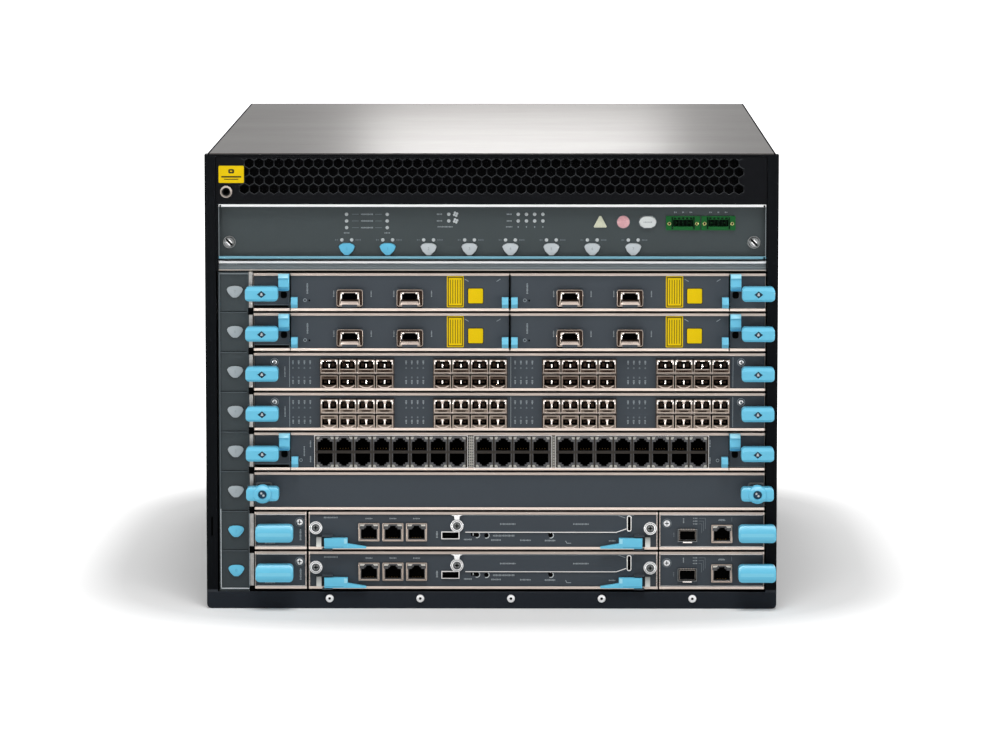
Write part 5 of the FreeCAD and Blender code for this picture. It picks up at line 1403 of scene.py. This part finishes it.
@dataclass
class OpticBank:
    """Rows of duplex optical transceivers in the third and fourth slots."""

    groups: Sequence[float] = (-132.8, -44.9, 39.9, 128.0)
    columns: int = 4
    pitch: float = 14.35
    width: float = 13.6
    height: float = 10.2
    rows: tuple[float, float] = (2.2, 14.4)

    def build(self) -> None:
        """Builds both banks in place of their plain solids."""
        for slot in (3, 4):
            dress(SLATE, f"optic_card_{slot}")
            kit = Kit(f"optics_{slot}", f"optic_card_{slot}")
            z0 = slot_z(slot)
            for start in self.groups:
                for column in range(self.columns):
                    for row, rise in enumerate(self.rows):
                        kit.at(start + column * self.pitch + self.width / 2, z0 + rise)
                        self.transceiver(kit, row == 1, slot == 4)
                end = (self.columns - 1) * self.pitch + self.width
                kit.at(start, z0)[SHELL_DARK].plate(rect(-0.5, end + 0.5, 2.0, 24.9),
                                                    [rect(-0.05, end + 0.05, 2.15, 24.75)], (1.2, WEB))
            self.ticks(kit, z0)
            kit.close(f"optics_{slot}")

    def transceiver(self, kit: Kit, upper: bool, bright: bool) -> None:
        """One transceiver: body, two mouths with painted shade, a rim painted as a highlight, centre bar and the recess
        or bow of its latch, with painted highlights on the upper row's top corners.

        Args:
            kit: pieces of the card, with the origin at the middle of its underside.
            upper: whether it sits in the upper row.
            bright: whether its shell is the brighter kind.
        """
        a, top = self.width / 2 - 0.25, self.height
        base, high = (3.0, 5.9) if upper else (2.5, 4.7)
        head = base + high
        body, rim = (SHELL_MID, 0.55) if bright else (SHELL_DARK, 0.4)
        outer = rect(-a, a, 0.1, top - 0.1)
        kit[body].plate(outer, [rect(-5.5, 5.5, base, head)], (-2.5, 2.6))
        kit[body].box(a - 0.1, (2.5, 56.0), (0.2, top - 0.2))
        # Thin bright rim: painted highlight on the shell's edge.
        kit[SHELL_AND_HIGHLIGHT].plate(outer, [rect(rim - a, a - rim, 0.1 + rim, top - 0.1 - rim)], (-2.75, -2.4))
        kit[BLACK_AND_SHADE].box(5.8, (1.4, 2.5), (base - 0.3, head + 0.3))
        for side in (-1, 1):
            # Dark blocks in the mouths: painted shade.
            kit[SHELL_SHADE].box((side * 3.0 - 1.3, side * 3.0 + 1.3), (-0.4, 1.5), (base + 1.4, head - 1.2), 0.3)
            if upper:
                # Bright spots at the top corners: painted highlights.
                kit.boxes((LATCH_AND_HIGHLIGHT, (side * 5.4 - 0.9, side * 5.4 + 0.9), (-2.8, -2.3), (top - 1.5, top - 0.3), 0.1),
                          (LATCH_AND_HIGHLIGHT, (side * 6.0 - 0.45, side * 6.0 + 0.45), (-2.8, -2.3), (top - 3.6, top - 0.5), 0.1))
        if bright:
            kit.boxes((SHELL_LIP, 0.6, (-2.9, -2.2), (base, head), 0.1),
                      (SHELL_LIP, 1.1, (-2.85, -2.2), (head - 1.6, head), 0.1))
        kit[LATCH_AND_HIGHLIGHT].box(0.5, (-2.95, -2.2), (base + 1.2, base + 4.0), 0.15)
        if upper:
            kit.boxes((LATCH_AND_HIGHLIGHT, 1.7, (-2.8, -2.3), (top - 1.2, top - 0.4), 0.1),
                      (SHELL_LIP, 5.6, (-2.85, -2.4), (base - 0.55, base - 0.05), 0.1))
            kit[SHELL_SHADE].plate(taper(3.0, 0.7, 3.9, 1.9), [], (-2.8, -2.4))
        else:
            kit[SHELL_SHADE].box(3.8, (-2.8, -2.4), (head + 1.1, head + 2.1))
            kit[SHELL_LIP].plate([(-5.7, 2.4), (-4.6, 2.4), (-1.7, 1.0), (1.7, 1.0), (4.6, 2.4), (5.7, 2.4), (2.4, 0.3),
                                  (-2.4, 0.3)], [], (-2.9, -2.4))

    def ticks(self, kit: Kit, z0: float) -> None:
        """Small printed marks between the groups, the thin upright lines and the side screws."""
        for x0 in (-154.3, -66.4, 18.3, 106.0):
            for k in range(4):
                kit.at(x0 + k * 4.45, z0)
                kit.words(GREY_INK, WEB, (0.0, 21.9, 3.2, 1.3, True), (0.0, 6.6, 3.4, 1.3, True))
                kit.words(DIM_INK, WEB, (0.0, 17.6, 1.2, 1.3, True), (0.0, 10.2, 1.2, 1.3, True))
        for x in (-157.0, 14.9, 187.4):
            kit.at(x, z0)[GREY_INK].box(0.2, PRINT, (2.6, 26.4))
        kit.at(0.0, z0)[GREY_INK].word(-160.6, 14.6, 8.4, WEB, 0.9, True)
        for x in (-168.6, 193.8):
            Screw(1.9, WEB, 1.0).add(kit.at(x, z0 + 22.2))
            kit[GREY_INK].ring(3.1, 2.7, PRINT, sides=20)


def contacts(kit: Kit, y: Sequence[float], middle: float) -> None:
    """Four gold contacts in the mouth of a copper socket."""
    for inset in (-3.15, -1.05, 1.05, 3.15):
        kit[GOLD].box((inset - 0.25, inset + 0.25), y, (middle - 0.2, middle + 0.2))


@dataclass
class CopperBank:
    """Wide module of the fifth slot with forty copper sockets."""

    blocks: Sequence[tuple[float, int]] = ((-136.7, 8), (-12.9, 4), (50.7, 8))
    pitch: float = 14.65

    def build(self) -> None:
        """Dresses the module and adds socket faces, contacts and windows."""
        dress(SLATE_TABS, "carrier_5", "copper_module_5")
        dress(BLACK_AND_SHADE, "jack_block_5")
        z0 = slot_z(5)
        kit = Kit("copper_bank", "copper_module_5")
        for start, count in self.blocks:
            for k in range(count):
                kit.at(start + 7.3 + k * self.pitch, z0 + 14.6)
                self.socket(kit, True)
                self.socket(kit, False)
            for k in range(count + 1):
                kit.at(start + k * self.pitch - 0.02, z0)[JACK_GREY].box(0.72, (-1.35, -0.9), (2.5, 26.7), 0.1)
            end = (count - 1) * self.pitch + 14.6
            kit.at(start, z0)[JACK_GREY].box((0.0, end), (-1.33, -0.9), (13.5, 15.7), 0.1)
            kit[SILVER].plate(rect(-1.1, end + 1.1, 1.7, 27.4), [rect(-0.6, end + 0.6, 2.1, 27.0)], (0.6, WEB))
        kit.at(0.0, z0)
        for (start, count), (following, _) in zip(self.blocks, self.blocks[1:]):
            end = start + (count - 1) * self.pitch + 16.0
            if following - end > 1.5:
                kit[DIVIDER].box((end, following - 1.2), (0.9, WEB), (2.2, 27.0), 0.3)
        kit.words(GREY_INK, WEB, (-140.9, 20.4, 5.4, 1.0, True), (-140.9, 8.4, 5.0, 1.0, True),
                  (-145.8, 14.6, 8.0, 1.0, True), (169.9, 21.0, 6.0, 1.0, True), (169.9, 7.6, 5.0, 1.0, True))
        for x in (-148.4, 175.8):
            kit.at(x, z0 + 7.6)[GREY_INK].ring(1.3, 0.9, PRINT, sides=14)
        kit.close()
        carrier = Kit("carrier_5", "carrier_5")
        dress_end_plates(carrier, z0)
        carrier.close()

    def socket(self, kit: Kit, upper: bool) -> None:
        """Face, contacts and lamp windows of one socket, with the origin between the two rows."""
        way = 1 if upper else -1
        low = 1.1 if upper else -10.9
        face = rect(-7.0, 7.0, 0.1, 12.2) if upper else rect(-7.0, 7.0, -12.2, -0.1)
        kit[JACK].plate(face, [notched(low, 11.8, 9.8, upper)], (-1.25, -0.95))
        contacts(kit, (6.0, 10.0), low + (0.6 if upper else 9.2))
        for side in (-1, 1):
            px, corner = side * 5.3, way * 11.0
            right, left = (1.3, 0.4)[::side]
            top = corner + way * 0.9
            kit[JACK_WINDOW].plate([(px - 1.3, top), (px + 1.3, top), (px + right, corner - way),
                                    (px - left, corner - way)], [], (-1.4, -1.2))
        for px in (-5.9, 5.9):
            kit[JACK_GREY].box((px - 0.25, px + 0.25), (-1.3, -1.2), (way * 4.6 - 2.0, way * 4.6 + 2.0))


@dataclass
class FabricAndEngines:
    """Lower two slots: fabric cards and the routing engines in them."""

    jacks: Sequence[float] = (-95.6, -76.9, -58.5)
    lever_pivots: tuple[float, float] = (-126.9, 114.0)

    def build(self) -> None:
        """Dresses both slots and adds their fittings."""
        for slot in (7, 8):
            dress(SLATE_SHELLS, f"fabric_card_{slot}", f"routing_engine_{slot}")
            z0 = slot_z(slot)
            engine = Kit(f"engine_{slot}", f"routing_engine_{slot}")
            for x in self.jacks:
                self.copper_socket(engine.at(x, z0 + 6.4))
            self.serial_socket(engine.at(-32.1, z0 + 11.0))
            self.door(engine.at(0.0, z0))
            self.fittings(engine, z0)
            engine.close()
            fabric = Kit(f"fabric_{slot}", f"fabric_card_{slot}")
            self.copper_socket(fabric.at(179.4, z0 + 5.3))
            self.cage(fabric.at(152.6, z0 + 6.6))
            self.fabric_marks(fabric, z0)
            fabric.close()
            for side, x, way in zip(("left", "right"), self.lever_pivots, (1, -1)):
                self.lever(f"lever_{slot}_{side}", x, z0, way)

    def copper_socket(self, kit: Kit) -> None:
        """Silver shell around a black notched mouth with contacts."""
        face = rect(-7.4, 7.4, 0.8, 13.6)
        kit[SHELL_AND_HIGHLIGHT].plate(oblong(16.4, 14.4, 0.7, z=7.1), [face], (0.7, 2.4), 0.2)
        kit[JACK].plate(face, [notched(1.8, 12.4, 10.6, True)], (1.0, 1.5))
        kit[BLACK_AND_SHADE].box(6.6, (6.0, 6.6), (1.4, 13.0))
        contacts(kit, (4.2, 6.2), 2.5)
        for side in (-1, 1):
            px = side * 5.0
            kit[JACK_LAMP].plate([(px - 1.9, 13.3), (px + 1.9, 13.3), (px + (1.9 if side > 0 else 0.9), 12.0),
                                  (px - (1.9 if side < 0 else 0.9), 12.0)], [], (0.5, 1.1))
            kit[SHELL_AND_HIGHLIGHT].box((side * 7.0 - 0.35, side * 7.0 + 0.35), (0.62, 1.1), (1.2, 9.6), 0.05)
        kit[SHELL_AND_HIGHLIGHT].box(6.6, (0.62, 1.1), (0.6, 1.3), 0.05)
        kit[GREY_INK].word(0.0, 17.6, 5.6, WEB, 1.0)

    def serial_socket(self, kit: Kit) -> None:
        """Flat metal socket with its dark tongue."""
        kit[SILVER].plate(rect(-7.1, 7.1, -3.1, 3.1), [rect(-6.4, 6.4, -2.4, 2.4)], (1.6, 2.6), 0.2)
        kit[BLACK_AND_SHADE].plate(rect(-6.5, 6.5, -2.5, 2.5), [rect(-5.9, 5.9, -1.9, 1.9)], (1.9, 2.6))
        kit[BLACK_AND_SHADE].box(5.6, (2.6, 12.0), (0.2, 1.6), 0.1)

    def door(self, kit: Kit) -> None:
        """Thin outline of the storage door, its chamfered corner and its upright latch slot."""
        line = (2.3, 2.42)
        kit[SILVER].box((-20.4, 97.4), (2.2, 2.42), (13.2, 13.75))
        kit[SILVER].plate([(97.2, 13.2), (105.0, 15.9), (105.0, 16.5), (97.2, 13.75)], [], (2.25, 2.42))
        kit[GREY_INK].plate([(98.0, 26.8), (104.4, 24.4), (104.4, 24.9), (99.2, 26.8)], [], line)
        kit[GREY_INK].box((-24.0, 111.0), line, (26.7, 27.1))
        kit[SILVER].plate(oblong(3.6, 12.6, 1.4, x=107.2, z=20.4), [oblong(2.3, 11.2, 0.9, x=107.2, z=20.4)],
                          (1.9, 2.42), 0.1, 1)
        kit[BLACK_AND_SHADE].plate(oblong(2.4, 11.3, 0.9, x=107.2, z=20.4), [], line)
        kit.words(GREY_INK, 2.4, (12.6, 19.9, 12.4, 1.2), (69.6, 19.9, 12.4, 1.2))

    def fittings(self, kit: Kit, z0: float) -> None:
        """Thumb screws, posts, pin holes and printed marks."""
        for x, rise in ((-137.0, 17.0), (123.6, 16.7), (-27.0, 18.6)):
            kit.at(x, z0 + rise)[CHROME].ring(5.1, 4.3, (WEB - 2.6, WEB), 0.25)
            # Dark groove ring and recess floor: painted shade.
            kit[METAL_SHADE].ring(4.4, 3.9, (WEB - 2.0, WEB))
            kit[CHROME].ring(4.0, 3.1, (WEB - 3.0, WEB), 0.2)
            kit[METAL_SHADE].rod(3.2, (WEB - 2.0, WEB), sides=24)
            Screw(2.5, WEB - 1.4, 1.6, reach=0.7, bold=0.4).add(kit, DARK_STEEL)
        angles = (-2.0, -1.4, -0.8, -0.2, 0.4, 0.9)
        for x, rise in ((-11.4, 11.1), (-4.05, 10.8), (46.1, 10.9)):
            kit.at(x, z0 + rise)[BLACK_AND_SHADE].rod(1.7, (WEB - 0.1, WEB), sides=14)
            arc = [(2.5 * math.cos(t), 2.5 * math.sin(t)) for t in angles]
            back = [(1.9 * math.cos(t), 1.9 * math.sin(t)) for t in reversed(angles)]
            kit[WHITE_INK].plate(arc + back, [], (WEB - 0.07, WEB))
        for x, rise in ((-14.4, 11.6), (45.9, 12.2)):
            kit.at(x, z0 + rise).boxes((BLACK_AND_SHADE, 1.7, PRINT, (-1.5, 1.3)),
                                       (WHITE_INK, 0.3, (WEB - 0.09, WEB), (-0.9, 1.0)))
        kit.at(0.0, z0)[CHROME].plate([(-29.0, 23.4), (-25.0, 23.4), (-24.6, 26.0), (-22.4, 27.0), (-31.6, 27.0),
                                       (-29.4, 26.0)], [], (1.6, WEB), 0.2, 1)
        kit.words(GREY_INK, WEB, (9.4, 10.6, 17.0, 1.5), (3.4, 7.2, 7.6, 1.2), (26.4, 7.0, 8.6, 1.2),
                  (45.6, 6.8, 8.4, 1.3), (-18.6, 7.6, 6.4, 1.2), (94.0, 6.6, 5.4, 1.0), (-125.4, 24.8, 11.0, 1.2),
                  (-42.6, 11.4, 5.4, 1.5, True))
        kit[GREY_INK].plate([(57.4, 6.6), (58.0, 6.6), (58.8, 5.0), (62.0, 5.0), (62.0, 4.5), (58.5, 4.5)], [], PRINT)

    def cage(self, kit: Kit) -> None:
        """Empty transceiver cage with a thin rim and a bright latch."""
        kit[DARK_STEEL].plate(rect(-7.5, 7.5, -0.3, 9.7), [rect(-7.0, 7.0, 0.2, 9.2)], (0.5, 1.6))
        kit[BLACK_AND_SHADE].plate(rect(-7.1, 7.1, 0.1, 9.3), [rect(-6.2, 6.2, 0.9, 8.5)], (0.55, 4.2))
        kit[BLACK_AND_SHADE].box(6.3, (4.0, 5.0), (0.8, 8.6))
        kit[LATCH_AND_HIGHLIGHT].box(3.6, (0.5, 2.2), (-1.3, -0.3), 0.15)
        for px in (-5.0, -3.0, -1.0, 1.0, 3.0, 5.0):
            kit[SHELL_AND_HIGHLIGHT].box((px - 0.4, px + 0.4), (0.4, 0.8), (9.2, 9.9), 0.05)

    def fabric_marks(self, kit: Kit, z0: float) -> None:
        """Edge lines, printed marks and small screws of a fabric card."""
        kit.at(0.0, z0)
        for x0, x1 in ((-184.3, -144.5), (131.0, 212.1)):
            kit[SILVER].plate(rect(x0, x1, 2.1, 27.3), [rect(x0 + 0.4, x1 - 0.4, 2.4, 26.9)], (WEB - 0.3, WEB))
        for x, rise in ((-149.7, 21.2), (136.6, 20.4)):
            kit.at(x, z0 + rise)[DIM_INK].ring(3.7, 3.1, PRINT, sides=24)
            Screw(2.6, WEB, 1.0).add(kit)
        kit.at(0.0, z0).words(GREY_INK, WEB, (-149.0, 11.2, 9.0, 1.4, True), (-173.0, 4.6, 8.0, 0.9),
                              (149.6, 22.6, 4.0, 0.9, True), (179.4, 23.4, 4.0, 0.9))
        kit[DIM_INK].word(142.0, 11.4, 3.6, WEB, 0.9, True)
        for row in range(3):
            x, z = 166.4 - row * 1.4, 24.6 - row * 2.2
            kit[GREY_INK].word(158.6, z - 0.2, 3.8, WEB, 0.9)
            kit.boxes((DIM_INK, (161.4, x + 0.2), PRINT, (z - 0.3, z)),
                      (DIM_INK, (x, x + 0.3), PRINT, (16.0 - row * 1.5, z)))
        kit[DIM_INK].box((187.0, 187.3), PRINT, (22.0, 25.4))

    def lever(self, name: str, x: float, z0: float, way: int) -> None:
        """Ejector lever: a square block with a painted highlight on its end facet and a thin tapering tail.

        Args:
            name: node that it stands for, and body that it rides on.
            x: its pivot.
            z0: underside of the faceplate.
            way: side to which it points, 1 or -1.
        """
        kit = Kit(name, name).at(x, z0 + 1.5)
        for finish, outline, *rest in (
                (BLUE, rect(-3.4, 14.9, 0.0, 8.1), (-4.8, -0.9), 0.4), (BLUE, rect(0.0, 14.5, 0.3, 7.8), (-1.5, 1.5)),
                (BLUE_HIGHLIGHT, rect(12.0, 14.5, 3.9, 7.7), (-4.9, -4.7)),
                (BLUE, [(14.4, 0.0), (29.3, 0.0), (29.3, 1.4), (14.4, 3.8)], (-4.8, -0.8), 0.4),
                (BLUE_MID, rect(-2.6, 11.6, 0.8, 1.5), (-4.84, -4.7))):
            kit[finish].plate([(way * u, v) for u, v in outline], [], *rest)
        kit.close(name)


@dataclass
class Blank:
    """Blank panel of the sixth slot."""

    jack_screws: tuple[float, float] = (-177.3, 206.0)

    def build(self) -> None:
        """Dresses the plate and adds its jack screw rims."""
        dress(SLATE, "blank_panel_6")
        kit = Kit("blank", "blank_panel_6")
        for x in self.jack_screws:
            kit.at(x, slot_z(6) + 15.0)[DARK_STEEL].plate(oblong(13.0, 13.0, 2.0), [oblong(10.4, 10.4, 1.6)],
                                                          (WEB - 0.25, WEB))
        kit.close()


@dataclass
class Rear:
    """Power supplies and fan tray."""

    start: float = -213.75
    pitch: float = 107.5
    face: float = 620.0
    low: float = 267.81

    def build(self) -> None:
        """Dresses the units and adds outlets, pins, lamps and hub caps."""
        for k in range(4):
            self.supply(k)
        self.fans()

    def supply(self, k: int) -> None:
        """One power supply with its honeycomb outlet, socket pins and lamps."""
        name = f"power_supply_{k + 1}"
        dress(ZINC, name)
        kit = Kit(name, name).at(self.start + k * self.pitch, self.low)
        for row in range(5):
            for column in range(6):
                kit[BLACK_AND_SHADE].rod(2.1, (self.face - 0.2, self.face + 0.08), sides=6,
                                     x=52.0 + column * 5.2 + row % 2 * 2.6, z=56.0 + row * 4.5)
        for x, z in ((19.0, 24.0), (25.0, 28.0), (31.0, 24.0)):
            kit[STEEL].box((x - 0.9, x + 0.9), (self.face - 10.0, self.face - 1.0), (z - 2.2, z + 2.2), 0.2)
        kit[JACK].plate(rect(9.4, 40.6, 13.4, 36.6), [rect(12.4, 37.6, 16.4, 33.6)], (self.face + 1.0, self.face + 1.6))
        for z in (60.0, 66.0, 72.0):
            kit[LIME_LENS].rod(1.1, (self.face, self.face + 0.6), sides=12, x=95.0, z=z)
        kit.close()

    def fans(self) -> None:
        """Dresses the tray and puts a hub cap on both sides of each fan."""
        dress(ZINC, "fan_tray")
        kit = Kit("fans", "fan_tray")
        for y in (212.5, 332.5, 452.5):
            for z in (78.03, 199.68):
                for x in (-214.0, -191.5):
                    place = Matrix.Translation((x, y, z)) @ Matrix.Rotation(math.pi / 2, 4, "Y")
                    bmesh.ops.create_cone(kit[CHIP].mesh, cap_ends=True, segments=28, radius1=16.0, radius2=16.0,
                                          depth=0.8, matrix=place)
        kit.close()


@dataclass
class Boards:
    """Chips on the cards' boards, seen when a card is drawn out."""

    rows: Sequence[tuple[float, float]] = ((110.0, 26.0), (230.0, 34.0), (500.0, 18.0))
    columns: Sequence[float] = (-140.0, -60.0, 20.0, 100.0, 170.0)

    def build(self) -> None:
        """Adds chips to each card that has a full board."""
        for slot, kind in ((1, "carrier"), (2, "carrier"), (3, "optic_card"), (4, "optic_card"), (5, "carrier"),
                           (7, "fabric_card"), (8, "fabric_card")):
            kit = Kit(f"board_{slot}", f"{kind}_{slot}")
            for y, size in self.rows if slot in (3, 4) else self.rows[2:]:
                for x in self.columns:
                    kit.at(x, slot_z(slot))[CHIP].box(size / 2, (y - size / 2, y + size / 2), (5.2, 7.4), 0.3)
            kit.close()


@dataclass
class Stage:
    """Floor, light and camera."""

    camera_at: tuple[float, float, float] = (0.03139, -4.2702, 0.63908)
    pitch: float = 6.4876
    yaw: float = -0.3595
    roll: float = 0.0082
    lens: float = 184.86
    fill: float = 0.36
    shadow: tuple[float, float] = (420.0, 515.0)

    def build(self) -> None:
        """Makes the floor, the white surround, the lamps and the camera."""
        self.floor()
        self.world()
        self.lamp("key_light", (0.1, -2.0, 3.5), 1.5, 82.0)
        self.lamp("left_light", (-3.2, -2.4, 1.4), 1.8, 13.0)
        self.lamp("right_light", (3.2, -2.4, 1.4), 1.8, 13.0)
        self.lamp("cover_light", (0.014, 0.95, 0.7), 0.31, 2.0)
        self.camera()

    def floor(self) -> None:
        """Pale floor that keeps the object's shadow, lightened at the sides by painted light, and is white for the
        camera elsewhere.
        """
        mesh = bmesh.new()
        bmesh.ops.create_grid(mesh, x_segments=2, y_segments=2, size=12.0)
        data = bpy.data.meshes.new("floor")
        mesh.to_mesh(data)
        mesh.free()
        plane = bpy.data.objects.new("floor", data)
        bpy.context.scene.collection.objects.link(plane)
        pale = bpy.data.materials.new("floor_pale")
        graph = Graph(pale)
        soft = graph.noise(300.0, 2.0)
        graph.surface(Base_Color=graph.vary((0.86, 0.86, 0.86), soft, 0.01), Roughness=0.9,
                      Specular_IOR_Level=0.1)
        path = graph.node("ShaderNodeLightPath")
        seen = Value(graph, path.outputs["Is Camera Ray"]).either(Value(graph, path.outputs["Is Glossy Ray"]))
        x, y, _ = graph.place()
        across, along = x / self.shadow[0], (y - DEPTH_MIDDLE) / self.shadow[1]
        across, along = across * across, along * along
        reach = (across * across + along * along).rise(0.55, 0.56)
        # The glow is left out near the object so the shadow shows, and added at the sides to lighten the side shadows:
        # painted light.
        white = seen * (reach * 0.8 + across * 0.25)
        glow = graph.node("ShaderNodeEmission", {}, {"Color": (1.0, 1.0, 1.0), "Strength": white})
        joined = graph.node("ShaderNodeAddShader", {}, {0: graph.shader.outputs[0], 1: glow.outputs[0]})
        graph.output(joined)
        data.materials.append(pale)

    def world(self) -> None:
        """White for the camera and in reflections, plain soft light for the rest."""
        world = bpy.data.worlds.new("surround")
        bpy.context.scene.world = world
        graph = Graph(world)
        path = graph.node("ShaderNodeLightPath")
        seen = Value(graph, path.outputs["Is Camera Ray"])
        for ray in ("Is Glossy Ray", "Is Transmission Ray"):
            seen = seen.either(Value(graph, path.outputs[ray]))
        graph.surface(Color=(1.0, 1.0, 1.0), Strength=seen * (1.0 - self.fill) + self.fill)

    def lamp(self, name: str, at: Sequence[float], size: float, power: float) -> None:
        """One soft square lamp turned to the object."""
        light = bpy.data.lights.new(name, "AREA")
        light.size = size
        light.energy = power
        holder = bpy.data.objects.new(name, light)
        bpy.context.scene.collection.objects.link(holder)
        holder.location = at
        holder.rotation_euler = (Vector((0, 0, 0.18)) - Vector(at)).to_track_quat("-Z", "Y").to_euler()

    def camera(self) -> None:
        """Camera at the photograph's viewing angle."""
        camera = bpy.data.cameras.new("camera")
        camera.lens = self.lens
        camera.sensor_width = 36.0
        camera.clip_end = 50.0
        holder = bpy.data.objects.new("camera", camera)
        bpy.context.scene.collection.objects.link(holder)
        pitch, yaw = math.radians(self.pitch), math.radians(self.yaw)
        ahead = Vector((math.sin(yaw) * math.cos(pitch), math.cos(yaw) * math.cos(pitch), -math.sin(pitch)))
        holder.location = self.camera_at
        holder.rotation_euler = (ahead.to_track_quat("-Z", "Y").to_matrix().to_4x4()
                                 @ Matrix.Rotation(math.radians(self.roll), 4, "Z")).to_euler()
        bpy.context.scene.camera = holder


def main() -> None:
    """Builds the stage and each sub-assembly in order."""
    logging.basicConfig(level=logging.INFO, format="%(message)s")
    bpy.context.scene.view_settings.view_transform = "Standard"
    for part in (Stage(), Housing(), IntakePanel(), CraftPanel(), CageFront(), Modules(), OpticBank(), CopperBank(),
                 Blank(), FabricAndEngines(), Knobs(), Rear(), Boards()):
        part.build()
        log.info("%s done", type(part).__name__)


if __name__ == "__main__":
    main()
